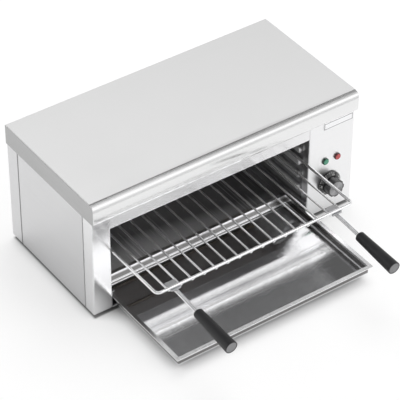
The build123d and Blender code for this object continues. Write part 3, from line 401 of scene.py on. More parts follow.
@dataclass(frozen=True)
class BrushedSteel(Finish):
    """Stainless or plated sheet with brush marks, faint smears and bright worn edges."""

    along: Along = Along.ROUND
    marks: float = 0.10
    smears: float = 0.06
    side_shade: float = 0.0
    relief: float = 0.000004
    fine_mark: Pair = (0.0005, 0.06)
    broad_mark: Pair = (0.004, 0.35)
    smear_scale: float = 9.0
    line_dark: float = 0.85
    line_tone: float = 0.18
    line_deep: float = 20.0

    def tone(self, paint: Paint) -> tuple[Value, Value, Value]:
        """Patterns that all sheet metal shares.

        Args:
            paint: The material.

        Returns:
            Fine marks, broad marks and smears, each around 0.
        """
        fine = paint.grain(self.along, *self.fine_mark) - 0.5
        broad = paint.grain(self.along, *self.broad_mark, (3.1, 1.7, 5.3)) - 0.5
        smears = paint.noise(self.smear_scale, 4.0) - 0.5
        return fine, broad, smears

    def shade(
        self, paint: Paint, dark: Value | None = None, bulge: Value | None = None,
        dim: Number = 0.0, haze: Number = 0.0,
    ) -> None:
        """Puts the sheet's shader together.

        Args:
            paint: The material.
            dark: 1 where the sheet has a dark line, or None.
            bulge: How far the sheet's crown tips its face upwards, or None.
            dim: How much of its tone the sheet loses.
            haze: How much rougher the sheet is.
        """
        fine, broad, smears = self.tone(paint)
        worn = paint.edges(self.edge)
        if bulge is not None:
            paint.leant(0.0, 0.0, bulge)
        right, away, _ = paint.faced()
        # Painted shade: faces turned sideways or backwards lose some of their tone, by the side
        # factor.
        turned = abs(right).maths("MAXIMUM", away).over(*TURNED)
        level = 1.0 + (fine + broad) * self.marks + smears * self.smears
        level = (level - turned * self.side_shade) * (1.0 - dim)
        colour = paint.mixed(
            worn * 0.5, paint.scaled(self.colour, level), toned(self.colour, 1.15))
        rough = self.rough + broad * self.marks + smears * (self.smears * 1.5)
        rough = rough + worn * 0.05 + haze
        height = fine
        if dark is not None:
            colour = paint.mixed(
                dark * self.line_dark, colour, toned(self.colour, self.line_tone))
            height = fine - dark * self.line_deep
        paint.raised(height, self.relief)
        paint.coat(colour, rough.held(), 1.0)

    def lay(self, paint: Paint) -> None:
        """Builds the sheet's tree."""
        self.shade(paint)


@dataclass(frozen=True)
class LidSteel(BrushedSteel):
    """Lid sheet: press lines at both ends of its rounded nose, which is duller than the top, with
    painted shade along the lines, on the nose, on its front and towards its back.
    """

    top_line: float = -0.1355
    front_line: float = 0.2585
    line: float = 0.0009
    top_line_shade: float = 0.10
    front_line_shade: float = 0.08
    top: float = 0.2715
    flat_bottom: float = 0.236
    crown: float = 0.26
    front_shade: float = 0.13
    nose_shade_band: Pair = (0.78, 0.21)
    nose_shade_step: Pair = (-0.05, 0.35)
    nose_shade_loss: float = 0.45
    shade_streak_wide: float = 0.009
    shade_streak_band: Pair = (0.06, 0.26)
    shade_streak_loss: float = 0.22
    back_step: Pair = (0.02, 0.30)
    back_shade: float = 0.10
    haze_starts: Pair = (0.12, 0.10)
    haze_ends: Pair = (0.985, 0.02)
    nose_haze: float = 0.20

    def lay(self, paint: Paint) -> None:
        """Builds the lid's tree."""
        across, depth, height = paint.place()
        _, away, rise = paint.faced()
        up, forward = rise.over(*FACING), (away * -1.0).over(*FACING)
        # Painted dark lines along the two press lines stand in for the dark reflection and shade in
        # the creases; the grooves themselves are bump.
        top = depth.near(self.top_line, self.line) * up * self.top_line_shade
        front = height.near(self.front_line, self.line) * forward * self.front_line_shade
        below = ((height - self.flat_bottom) / (self.front_line - self.flat_bottom)).held()
        above = ((self.top - height) / (self.top - self.front_line)).held()
        crowned = below * above * forward * self.crown
        # Painted shade: a darker band across the nose, stronger to the right, stands in for the dark
        # reflection there.
        rightwards = across.over(*self.nose_shade_step) * 0.6 + 0.4
        nose_shade = rise.near(*self.nose_shade_band) * rightwards * self.nose_shade_loss
        # Painted shade: a soft dark streak on the top just behind the press line, towards the right,
        # stands in for a dark reflection.
        shade_streak = depth.near(self.top_line, self.shade_streak_wide) * up
        shade_streak = shade_streak * across.near(*self.shade_streak_band)
        # Painted shade: the lid is darker towards its back and on faces turned forwards.
        back_shading = depth.over(*self.back_step) * self.back_shade
        dim = nose_shade + shade_streak * self.shade_streak_loss + forward * self.front_shade + back_shading
        haze = rise.over(*self.haze_starts) * (1.0 - rise.over(*self.haze_ends))
        self.shade(paint, (top + front).held(), crowned, dim, haze * self.nose_haze)


@dataclass(frozen=True)
class SeamedSteel(BrushedSteel):
    """Side sheet with painted shade in its two upright seams and a painted shadow line under the
    lid's skirt.
    """

    seams: Pair = (-0.1105, 0.1105)
    skirt: float = 0.2285
    line: float = 0.0024
    under_line: float = 0.0022
    seam_gain: float = 2.0

    def lay(self, paint: Paint) -> None:
        """Builds the side sheet's tree."""
        _, depth, height = paint.place()
        sideways = abs(paint.faced()[0]).over(*FACING)
        # Painted shade: dark lines in the two seam gaps and under the lid's skirt.
        seam_shade = depth.near(self.seams[0], self.line) + depth.near(self.seams[1], self.line)
        under = height.near(self.skirt, self.under_line)
        self.shade(paint, ((seam_shade * self.seam_gain + under) * sideways).held())


@dataclass(frozen=True)
class FramedPlate(BrushedSteel):
    """Blank plate with a thin dark line inside its rim."""

    centre: Span = (0.0, 0.0, 0.0)
    half: Pair = (0.034, 0.0075)
    inset: float = 0.0013
    line: float = 0.0010
    line_edge: float = 0.0002
    line_gain: float = 1.4

    def lay(self, paint: Paint) -> None:
        """Builds the plate's tree."""
        right, up, _ = paint.about(self.centre)
        right, up = abs(right), abs(up)
        wide, tall = self.half[0] - self.inset, self.half[1] - self.inset
        within_sides = 1.0 - right.over(wide + self.line, self.line_edge)
        within_ends = 1.0 - up.over(tall + self.line, self.line_edge)
        lines = right.near(wide, self.line) + up.near(tall, self.line)
        self.shade(paint, (lines * within_sides * within_ends * self.line_gain).held())


@dataclass(frozen=True)
class HeatedSteel(BrushedSteel):
    """Sheet in the grill space: browned by the heat, with painted shade towards one side and the
    back, and crests that are rubbed and given a painted highlight.
    """

    metal: float = 0.65
    hot: Rgb = (0.20, 0.13, 0.08)
    hot_step: Pair = (0.19, 0.08)
    inner_shade: float = 0.0
    inner_shade_right: Pair = (0.10, 0.4)
    inner_shade_back: Pair = (-0.02, 0.06)
    inner_shade_tone: Rgb = (0.03, 0.03, 0.03)
    rub_and_sheen: float = 0.0
    rub_and_sheen_tone: Rgb = (0.95, 0.95, 0.95)
    middle: float = -0.033
    wall: float = 0.2235
    proud: float = 0.006
    splash_scale: float = 160.0
    splashed: Pair = (0.6, 0.1)

    def lay(self, paint: Paint) -> None:
        """Builds the sheet's tree."""
        fine, broad, smears = self.tone(paint)
        worn = paint.edges(self.edge)
        across, depth, height = paint.place()
        stain = paint.noise(30.0, 5.0, (1.0, 2.0, 3.0))
        heat = (height.over(*self.hot_step) * (stain + 0.2)).held()
        level = 1.0 + (fine + broad) * self.marks + smears * self.smears
        colour = paint.mixed(heat * 0.6, paint.scaled(self.colour, level), self.hot)
        # Painted shade: darker towards the right and further in, where the grill space lies in
        # shade.
        inner_shading = (across.over(*self.inner_shade_right) + depth.over(*self.inner_shade_back)).held()
        colour = paint.mixed(inner_shading * self.inner_shade, colour, self.inner_shade_tone)
        colour = paint.mixed(worn * 0.4, colour, toned(self.colour, 1.6))
        # Rib crests: partly rubbed by the rack and partly a painted highlight, which lightens them.
        rubbed = ((self.wall - abs(across - self.middle)) / self.proud).held() * self.rub_and_sheen
        colour = paint.mixed(rubbed, colour, self.rub_and_sheen_tone)
        splash = (1.0 - paint.cells(self.splash_scale) * 6.0).held()
        splash = splash * stain.over(*self.splashed)
        rough = self.rough + broad * self.marks + splash * 0.25 + heat * 0.1
        paint.raised(fine + splash * 4.0, self.relief)
        paint.coat(colour, rough.held(), self.metal)


@dataclass(frozen=True)
class MirrorTray(BrushedSteel):
    """Polished tray sheet: brushed front to back, its shading tipped as if dished by its own weight,
    with hairlines.
    """

    sag: float = 0.170
    sag_place: float = -0.228
    sag_change: float = 0.775
    least_sag: float = 0.06
    most_sag: float = 0.20
    brush: float = 0.40
    skew: float = 0.228
    brush_mark: Pair = (0.00025, 0.012)
    hair_scale: Span = (14.0, 160.0, 160.0)
    floor_ends: Pair = (0.020, 0.002)
    wall_starts: Pair = (0.0165, 0.002)
    wall_ends: Pair = (0.0285, 0.004)
    wall_dark: float = 0.85
    lip_starts: Pair = (0.0335, 0.001)
    wear_and_lip_highlight: Rgb = (0.97, 0.97, 0.97)
    lip_rough: float = 0.16
    wall_rough: float = 0.14
    wall_shade_tone: Rgb = (0.10, 0.095, 0.09)

    def lay(self, paint: Paint) -> None:
        """Builds the tray's tree."""
        fine, _, smears = self.tone(paint)
        worn = paint.edges(self.edge)
        _, depth, height = paint.place()
        floor = 1.0 - height.over(*self.floor_ends)
        hairs = (1.0 - paint.cells(self.hair_scale, "DISTANCE_TO_EDGE") * 60.0).held()
        level = 1.0 + fine * self.marks + smears * self.smears
        colour = paint.scaled(self.colour, level)
        # Painted shade: the walls take a dark tone that stands in for the dark things they reflect.
        wall = height.over(*self.wall_starts) * (1.0 - height.over(*self.wall_ends))
        colour = paint.mixed(wall * self.wall_dark, colour, self.wall_shade_tone)
        # Worn edges are lightened, and the lip gets a painted highlight in the same lighter tone.
        lip = height.over(*self.lip_starts)
        colour = paint.mixed((worn * 0.4).maths("MAXIMUM", lip), colour, self.wear_and_lip_highlight)
        rough = self.rough + hairs * 0.04 + smears * self.smears
        rough = rough + (1.0 - floor) * self.wall_rough + lip * self.lip_rough
        sag = (depth - self.sag_place) * self.sag_change + self.sag
        sag = sag.maths("MAXIMUM", self.least_sag).maths("MINIMUM", self.most_sag)
        brushed = paint.grain(Along.DEPTH, *self.brush_mark, (0.7, 0.3, 0.9)) - 0.5
        brushed = brushed * self.brush
        paint.leant(brushed * floor, (sag + brushed * self.skew) * floor * -1.0)
        paint.coat(colour, rough.held(), 1.0)


@dataclass(frozen=True)
class Plated(Finish):
    """Bright plating on rod or small hardware, with pits and dulled patches."""

    pit: float = 0.002
    dull: Rgb = (0.35, 0.34, 0.33)
    lumps: float = 0.000006
    metal: float = 1.0
    pitted: Pair = (0.55, 0.1)

    def lay(self, paint: Paint) -> None:
        """Builds the plating's tree."""
        worn = paint.edges(self.edge)
        patches = paint.noise(60.0, 4.0)
        pits = (1.0 - paint.cells(1.0 / self.pit) * 5.0).held() * patches.over(*self.pitted)
        mottled = paint.scaled(self.colour, 0.92 + patches * 0.16)
        colour = paint.mixed(pits * 0.5, mottled, self.dull)
        colour = paint.mixed(worn * 0.4, colour, toned(self.colour, 1.1))
        rough = self.rough + (patches - 0.5) * 0.10 + pits * 0.25
        paint.raised(patches * 2.0 - pits, self.lumps)
        paint.coat(colour, rough.held(), self.metal)


@dataclass(frozen=True)
class Spun(Finish):
    """Turned metal face with rings round an axis along Y, and a painted sheen in fans round the
    axis.
    """

    centre: Span = (0.0, 0.0, 0.0)
    ring: float = 0.0004
    relief: float = 0.000004
    worn_tone: Rgb = (0.9, 0.9, 0.9)

    def lay(self, paint: Paint) -> None:
        """Builds the turned face's tree."""
        worn = paint.edges(self.edge)
        right, up, reach = paint.about(self.centre)
        turn = up.maths("ARCTAN2", right)
        rings = (reach * (2.0 * math.pi / self.ring)).maths("SINE")
        # Painted sheen: two bright and two dark fans round the axis, as light catches a turned face.
        sheen_fans = (turn * 2.0).maths("SINE")
        patches = paint.noise(200.0, 3.0) - 0.5
        level = 1.0 + rings * 0.06 + sheen_fans * 0.30 + patches * 0.1
        colour = paint.mixed(worn * 0.5, paint.scaled(self.colour, level), self.worn_tone)
        rough = self.rough + rings * 0.05 + patches * 0.1
        paint.raised(rings, self.relief)
        paint.coat(colour, rough.held(), 1.0)


@dataclass(frozen=True)
class Moulded(Finish):
    """Moulded plastic, rubber or glazed ware: fine skin, dust in patches, rubbed edges."""

    skin: float = 0.0006
    skin_depth: float = 0.00001
    rubbed: Rgb = (0.12, 0.12, 0.12)
    gloss_coat: float = 0.0
    dusty: Pair = (0.62, 0.25)

    def lay(self, paint: Paint) -> None:
        """Builds the moulding's tree."""
        worn = paint.edges(self.edge)
        skin = paint.noise(1.0 / self.skin, 2.0)
        patches = paint.noise(45.0, 4.0, (2.0, 1.0, 4.0))
        dust = patches.over(*self.dusty) * 0.08
        colour = paint.scaled(self.colour, 0.85 + patches * 0.3)
        colour = paint.mixed(worn * 0.45 + dust, colour, self.rubbed)
        rough = self.rough + (patches - 0.5) * 0.16 + (skin - 0.5) * 0.08
        paint.raised(skin, self.skin_depth)
        paint.coat(colour, rough.held(), 0.0, Coat_Weight=self.gloss_coat)


@dataclass(frozen=True)
class Lens(Finish):
    """Coloured lamp lens: darker at its rim, with moulded ribs inside and a clear gloss."""

    centre: Span = (0.0, 0.0, 0.0)
    radius: float = 0.00725
    rim: Rgb = (0.01, 0.01, 0.01)
    rim_step: Pair = (0.84, 0.1)
    rib: float = 0.0012
    relief: float = 0.000008

    def lay(self, paint: Paint) -> None:
        """Builds the lens's tree."""
        worn = paint.edges(self.edge)
        right, _, reach = paint.about(self.centre)
        ribs = (right * (2.0 * math.pi / self.rib)).maths("SINE")
        specks = paint.noise(300.0, 2.0) - 0.5
        level = 1.0 + ribs * 0.07 + specks * 0.15
        rim = (reach / self.radius).over(*self.rim_step)
        colour = paint.mixed(rim, paint.scaled(self.colour, level), self.rim)
        colour = paint.mixed(worn * 0.2, colour, toned(self.colour, 1.5))
        rough = self.rough + specks * 0.06 + worn * 0.05
        paint.raised(ribs, self.relief)
        paint.coat(colour, rough.held(), 0.0, Coat_Weight=0.6, Coat_Roughness=0.05)


# ---- modelling helpers

def clear_selection() -> None:
    """Leaves edit mode and selects nothing."""
    if bpy.context.mode != "OBJECT":
        bpy.ops.object.mode_set(mode="OBJECT")
    bpy.ops.object.select_all(action="DESELECT")


def pick(piece: Piece) -> None:
    """Makes one object the only selected one.

    Args:
        piece: The object.
    """
    clear_selection()
    piece.select_set(True)
    bpy.context.view_layer.objects.active = piece


def settle(piece: Piece) -> None:
    """Puts an object's place, turn and scale into its mesh."""
    pick(piece)
    bpy.ops.object.transform_apply(location=True, rotation=True, scale=True)


def placed_copy(piece: Piece, place: Matrix) -> Piece:
    """Copies a piece, with a mesh of its own, and puts the copy in its place.

    Args:
        piece: The piece at the origin.
        place: Where the copy goes.

    Returns:
        The copy.
    """
    pick(piece)
    bpy.ops.object.duplicate(linked=False)
    made = bpy.context.active_object
    made.matrix_world = place
    settle(made)
    return made


def joined(pieces: list[Piece], name: str) -> Piece:
    """Makes several objects one.

    Args:
        pieces: The objects.
        name: What the one object is called.

    Returns:
        The one object.
    """
    clear_selection()
    for piece in pieces:
        piece.select_set(True)
    bpy.context.view_layer.objects.active = pieces[0]
    bpy.ops.object.join()
    made = bpy.context.active_object
    made.name = name
    made.data.name = name
    return made


def fitted(piece: Piece, finish: Surface, body: str) -> None:
    """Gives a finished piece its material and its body.

    Args:
        piece: The object.
        finish: The material.
        body: The body that it rides on.
    """
    piece.data.materials.clear()
    piece.data.materials.append(finish)
    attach(piece, body)
    log.info("piece %s rides on %s, %d faces", piece.name, body, len(piece.data.polygons))


def dress(finish: Finish, *names: str) -> Surface:
    """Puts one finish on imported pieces.

    Args:
        finish: The finish.
        names: The pieces' names.

    Returns:
        The material.
    """
    material = finish.material()
    for name in names:
        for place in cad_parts[name].material_slots:
            place.material = material
        log.info("%s has finish %s", name, finish.name)
    return material


# ---- sub-assemblies

@dataclass
class Cabinet:
    """Lid, outer panels, base, feet and the blank name plate."""

    lid_colour: Rgb = (0.94, 0.94, 0.94)
    body_colour: Rgb = (0.82, 0.82, 0.825)
    panel_colour: Rgb = (0.86, 0.86, 0.865)
    shaded_side_colour: Rgb = (0.67, 0.67, 0.675)
    base_colour: Rgb = (0.85, 0.85, 0.86)

    def dress_lid(self) -> None:
        """Dresses the lid in brushed sheet with its two press lines."""
        lid = LidSteel("lid_brushed", self.lid_colour, 0.18, marks=0.04, side_shade=0.54)
        dress(lid, "lid")

    def dress_panels(self) -> None:
        """Dresses the outer panels."""
        front = BrushedSteel("front_bright", self.body_colour, 0.25, marks=0.04, smears=0.05)
        dress(front, "lintel")
        pillar = BrushedSteel("pillar_bright", self.body_colour, 0.19, 0.004, marks=0.05)
        dress(pillar, "left_pillar")
        panel = BrushedSteel("panel_satin", self.panel_colour, 0.30, marks=0.03, smears=0.04)
        dress(panel, "control_panel")
        # Painted shade: the side and rear panels take a darker tone of the cabinet's steel than the
        # front.
        side = SeamedSteel("side_satin", self.shaded_side_colour, 0.32, marks=0.06)
        dress(side, "left_side_panel", "right_side_panel", "rear_panel")
        # The base sheet has painted shade, darker towards the right and the back.
        base = HeatedSteel(
            "base_sheet", self.base_colour, 0.26, along=Along.DEPTH, metal=0.4, inner_shade=0.82)
        dress(base, "base_plate")

    def dress_small(self) -> None:
        """Dresses the feet, the fasteners and the name plate."""
        dress(Moulded("foot_rubber", (0.018, 0.018, 0.019), 0.72, skin_depth=0.00003), "feet")
        screws = Plated("zinc_plated_screw", (0.62, 0.62, 0.60), 0.32, 0.0003)
        dress(screws, "foot_screws", "foot_nuts", "lid_screws", "rear_panel_screws")
        low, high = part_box("name_plate")
        middle, half = (low + high) / 2, (high - low) / 2
        plate = FramedPlate(
            "name_plate", (0.90, 0.90, 0.91), 0.24, 0.0004, marks=0.04,
            centre=tuple(middle), half=(half.x, half.z))
        dress(plate, "name_plate")

    def build(self) -> None:
        """Finishes the whole cabinet."""
        self.dress_lid()
        self.dress_panels()
        self.dress_small()


@dataclass
class GrillSpace:
    """Liners, ceiling, tray guides, heating elements and the sensor."""

    liner_colour: Rgb = (0.40, 0.40, 0.41)

    def dress_sheets(self) -> None:
        """Dresses the sheets round the space."""
        liner = HeatedSteel("liner_sheet", self.liner_colour, 0.30, along=Along.DEPTH, rub_and_sheen=0.85)
        dress(liner, "left_liner", "right_liner")
        ceiling = HeatedSteel("ceiling_sheet", (0.50, 0.50, 0.51), 0.30, along=Along.DEPTH)
        dress(ceiling, "cavity_ceiling")
        # Painted light: the back sheet is the liners' steel in a much lighter tone, which stands in
        # for light reaching the back wall.
        dress(HeatedSteel("back_sheet", (0.78, 0.78, 0.79), 0.38), "cavity_back")
        guide = BrushedSteel("guide_sheet", (0.45, 0.45, 0.46), 0.30, along=Along.DEPTH)
        dress(guide, "left_tray_guide", "right_tray_guide", "element_hangers")

    def dress_heating(self) -> None:
        """Dresses the elements and their fittings."""
        sheath = HeatedSteel("element_sheath", (0.10, 0.10, 0.09), 0.50, 0.0003, along=Along.NONE)
        dress(sheath, "front_heating_element", "rear_heating_element")
        brass = Plated("plain_brass", (0.72, 0.52, 0.22), 0.30, 0.0003, dull=(0.35, 0.24, 0.12))
        dress(brass, "element_bushings", "element_nuts", "earth_stud")
        ceramic = Moulded(
            "ceramic", (0.78, 0.75, 0.68), 0.35, 0.0003,
            rubbed=(0.6, 0.57, 0.5), gloss_coat=0.3)
        dress(ceramic, "element_insulators")
        copper = Plated("copper_tube", (0.78, 0.40, 0.26), 0.28, 0.0003, dull=(0.30, 0.16, 0.11))
        dress(copper, "sensor_bulb", "capillary_tube")
        pin = Plated("bright_pin", (0.62, 0.62, 0.60), 0.30, 0.0002)
        dress(pin, "element_pins", "bulb_clips")

    def build(self) -> None:
        """Finishes the grill space."""
        self.dress_sheets()
        self.dress_heating()


@dataclass
class CrumbTray:
    """The polished tray, drawn forwards."""

    colour: Rgb = (0.88, 0.88, 0.89)

    def build(self) -> None:
        """Dresses the tray."""
        mirror = MirrorTray("tray_mirror", self.colour, 0.04, 0.0002, marks=0.05, smears=0.05)
        dress(mirror, "crumb_tray")


@dataclass
class Rack:
    """Chromed wire rack with its weld beads, and two grips."""

    wires: int = 16
    bead_wide: float = 0.0031
    bead_tall: float = 0.0010
    bead_uneven: float = 0.25
    bead_turn: float = 1.3
    joint_height: float = 0.13925
    colour: Rgb = (0.92, 0.92, 0.93)

    def shape_bead(self) -> Piece:
        """Models one weld bead: a flattened ball with an uneven skin.

        Returns:
            The bead at the origin.
        """
        clear_selection()
        bpy.ops.mesh.primitive_uv_sphere_add(segments=14, ring_count=8, radius=self.bead_wide)
        bead = bpy.context.active_object
        bpy.ops.object.mode_set(mode="EDIT")
        bpy.ops.mesh.select_all(action="SELECT")
        bpy.ops.transform.resize(value=(1.0, 1.0, self.bead_tall / self.bead_wide))
        bpy.ops.transform.vertex_random(offset=self.bead_tall * self.bead_uneven, seed=3)
        bpy.ops.object.mode_set(mode="OBJECT")
        bpy.ops.object.shade_smooth()
        return bead

    def weld(self, finish: Surface) -> None:
        """Puts a bead at every crossing of a wire and the frame.

        Args:
            finish: The plating.
        """
        low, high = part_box("rack_frame")
        rod = (high.z - low.z) / 2
        left, right = low.x + rod, high.x - rod
        pitch = (right - left) / (self.wires + 1)
        bead = self.shape_bead()
        beads = []
        for row in (low.y + rod, high.y - rod):
            for step in range(self.wires):
                place = Vector((left + pitch * (step + 1), row, self.joint_height))
                turn = Matrix.Rotation(step * self.bead_turn, 4, "Z")
                beads.append(placed_copy(bead, Matrix.Translation(place) @ turn))
        bpy.data.objects.remove(bead)
        fitted(joined(beads, "rack_weld_beads"), finish, "rack")

    def build(self) -> None:
        """Finishes the rack."""
        chrome = dress(
            Plated("rack_chrome", self.colour, 0.18, 0.0003, metal=0.85),
            "rack_frame", "rack_wires", "left_handle_rods", "right_handle_rods")
        self.weld(chrome)
        plate = BrushedSteel("weld_plate", (0.52, 0.52, 0.53), 0.42, 0.0004, along=Along.DEPTH)
        dress(plate, "left_handle_plate", "right_handle_plate")
        grip = Moulded(
            "grip_black", (0.008, 0.008, 0.009), 0.46, 0.0012, rubbed=(0.035, 0.035, 0.035))
        dress(grip, "left_grip", "right_grip")
        cap = Moulded(
            "grip_cap_grey", (0.22, 0.22, 0.225), 0.35, 0.0004, rubbed=(0.35, 0.35, 0.35))
        dress(cap, "left_grip_cap", "right_grip_cap")


@dataclass
class ThermostatKnob:
    """Graduated skirt, lobed cap, bright face and pointer."""

    ticks: int = 31
    tick_step: float = 10.0
    tick_value: int = 10
    number_every: int = 5
    number_height: float = 0.0046
    tick_long: float = 0.0028
    tick_short: float = 0.0013
    tick_wide: float = 0.00080
    tick_proud: float = 0.00012
    tick_inward: float = 0.0004
    number_inward: float = 0.0068
    rim_radius: float = 0.026
    rim_thick: float = 0.0044
    slope: Pair = (0.806, 0.591)
    first_turn: float = -185.0

    def axis(self) -> Vector:
        """The point on the knob's axis halfway through the skirt."""
        low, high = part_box("knob_skirt")
        return (low + high) / 2

    def seat(self, turn: float, inward: float) -> Matrix:
        """A place on the skirt's cone.

        Args:
            turn: Degrees clockwise from the top, seen from the front.
            inward: How far up the slope from the rim.

        Returns:
            A frame with X clockwise, Y down the slope and Z off the cone.
        """
        angle = math.radians(turn)
        outwards = Vector((math.sin(angle), 0.0, math.cos(angle)))
        right = Vector((math.cos(angle), 0.0, -math.sin(angle)))
        up = outwards * self.slope[0] + Vector((0.0, self.slope[1], 0.0))
        off = right.cross(up)
        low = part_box("knob_skirt")[0]
        axis = self.axis()
        rim = Vector((axis.x, low.y + self.rim_thick, axis.z)) + outwards * self.rim_radius
        made = Matrix((right, up, off)).transposed().to_4x4()
        made.translation = rim - up * inward
        return made

    def shape_tick(self, length: float) -> Piece:
        """Models one printed mark, raised a hair and rounded at its edges.

        Args:
            length: How long the mark is.

        Returns:
            The mark at the origin, its outer end at Y 0.
        """
        clear_selection()
        bpy.ops.mesh.primitive_plane_add(size=1.0)
        tick = bpy.context.active_object
        bpy.ops.object.mode_set(mode="EDIT")
        bpy.ops.mesh.select_all(action="SELECT")
        bpy.ops.transform.resize(value=(self.tick_wide, length, 1.0))
        bpy.ops.transform.translate(value=(0.0, -length / 2, -self.tick_proud))
        rise = {"value": (0.0, 0.0, self.tick_proud * 2)}
        bpy.ops.mesh.extrude_region_move(TRANSFORM_OT_translate=rise)
        bpy.ops.mesh.select_all(action="SELECT")
        bpy.ops.mesh.normals_make_consistent(inside=False)
        bpy.ops.mesh.bevel(offset=self.tick_proud * 0.5, segments=1)
        bpy.ops.object.mode_set(mode="OBJECT")
        return tick

    def mark(self, finish: Surface) -> None:
        """Puts the marks round the skirt.

        Args:
            finish: The printing colour.
        """
        long, short = self.shape_tick(self.tick_long), self.shape_tick(self.tick_short)
        marks = []
        for step in range(self.ticks):
            pattern = long if step % self.number_every == 0 else short
            turn = self.first_turn + step * self.tick_step
            marks.append(placed_copy(pattern, self.seat(turn, self.tick_inward)))
        for pattern in (long, short):
            bpy.data.objects.remove(pattern)
        fitted(joined(marks, "knob_marks"), finish, "knob")

    def number(self, finish: Surface) -> None:
        """Puts plain numbers on the skirt, inside the marks.

        Args:
            finish: The printing colour.
        """
        written = []
        for step in range(self.number_every, self.ticks, self.number_every):
            clear_selection()
            bpy.ops.object.text_add()
            text = bpy.context.active_object
            text.data.body = str(step * self.tick_value)
            text.data.size = self.number_height
            text.data.extrude = self.tick_proud
            text.data.align_x = "CENTER"
            text.data.resolution_u = 3
            pick(text)
            bpy.ops.object.convert(target="MESH")
            text = bpy.context.active_object
            turn = self.first_turn + step * self.tick_step
            text.matrix_world = self.seat(turn, self.number_inward)
            settle(text)
            written.append(text)
        fitted(joined(written, "knob_numbers"), finish, "knob")

    def build(self) -> None:
        """Finishes the knob."""
        black = Moulded(
            "knob_black", (0.014, 0.014, 0.015), 0.24, 0.0004,
            rubbed=(0.09, 0.09, 0.09), gloss_coat=0.5)
        dress(black, "knob_skirt", "knob_cap")
        face = Spun("knob_face", (0.27, 0.27, 0.275), 0.26, 0.0002, centre=tuple(self.axis()))
        dress(face, "knob_face")
        white = Moulded(
            "marking_white", (0.78, 0.78, 0.76), 0.45, 0.0001, rubbed=(0.6, 0.6, 0.6))
        printed = dress(white, "knob_pointer")
        self.mark(printed)
        self.number(printed)
        spindle = Plated("spindle_steel", (0.60, 0.60, 0.60), 0.25, 0.0003)
        dress(spindle, "thermostat_spindle", "thermostat_screws")


@dataclass
class Electrics:
    """Pilot lamps, thermostat body, terminals, leads and the cable entry."""

    green: Rgb = (0.035, 0.30, 0.17)
    red: Rgb = (0.55, 0.045, 0.045)

    def dress_lamps(self) -> None:
        """Dresses the two lamps' lenses and bodies."""
        for node, colour in (("green_pilot_lens", self.green), ("red_pilot_lens", self.red)):
            low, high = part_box(node)
            middle = tuple((low + high) / 2)
            lens = Lens(node + "_glass", colour, 0.12, 0.0004, middle, rim=toned(colour, 0.15))
            dress(lens, node)
        body = Moulded("control_plastic", (0.02, 0.02, 0.022), 0.40, 0.0004)
        dress(body, "thermostat_body", "pilot_lamp_bodies", "pilot_lamp_nuts")

    def dress_entry(self) -> None:
        """Dresses the terminals, the leads and the gland."""
        terminal = Moulded(
            "terminal_plastic", (0.66, 0.64, 0.58), 0.45, 0.0004, rubbed=(0.5, 0.5, 0.45))
        dress(terminal, "terminal_block")
        gland = Moulded("gland_plastic", (0.02, 0.02, 0.022), 0.45, 0.0005)
        dress(gland, "cable_gland", "gland_nut")
        dress(Moulded("seal_rubber", (0.03, 0.03, 0.03), 0.70, 0.0003), "gland_seal")
        lead = Moulded(
            "lead_sleeve", (0.58, 0.55, 0.48), 0.55, 0.0003, rubbed=(0.45, 0.42, 0.36))
        dress(lead, "internal_wires")

    def build(self) -> None:
        """Finishes the electrics."""
        self.dress_lamps()
        self.dress_entry()


# ---- studio

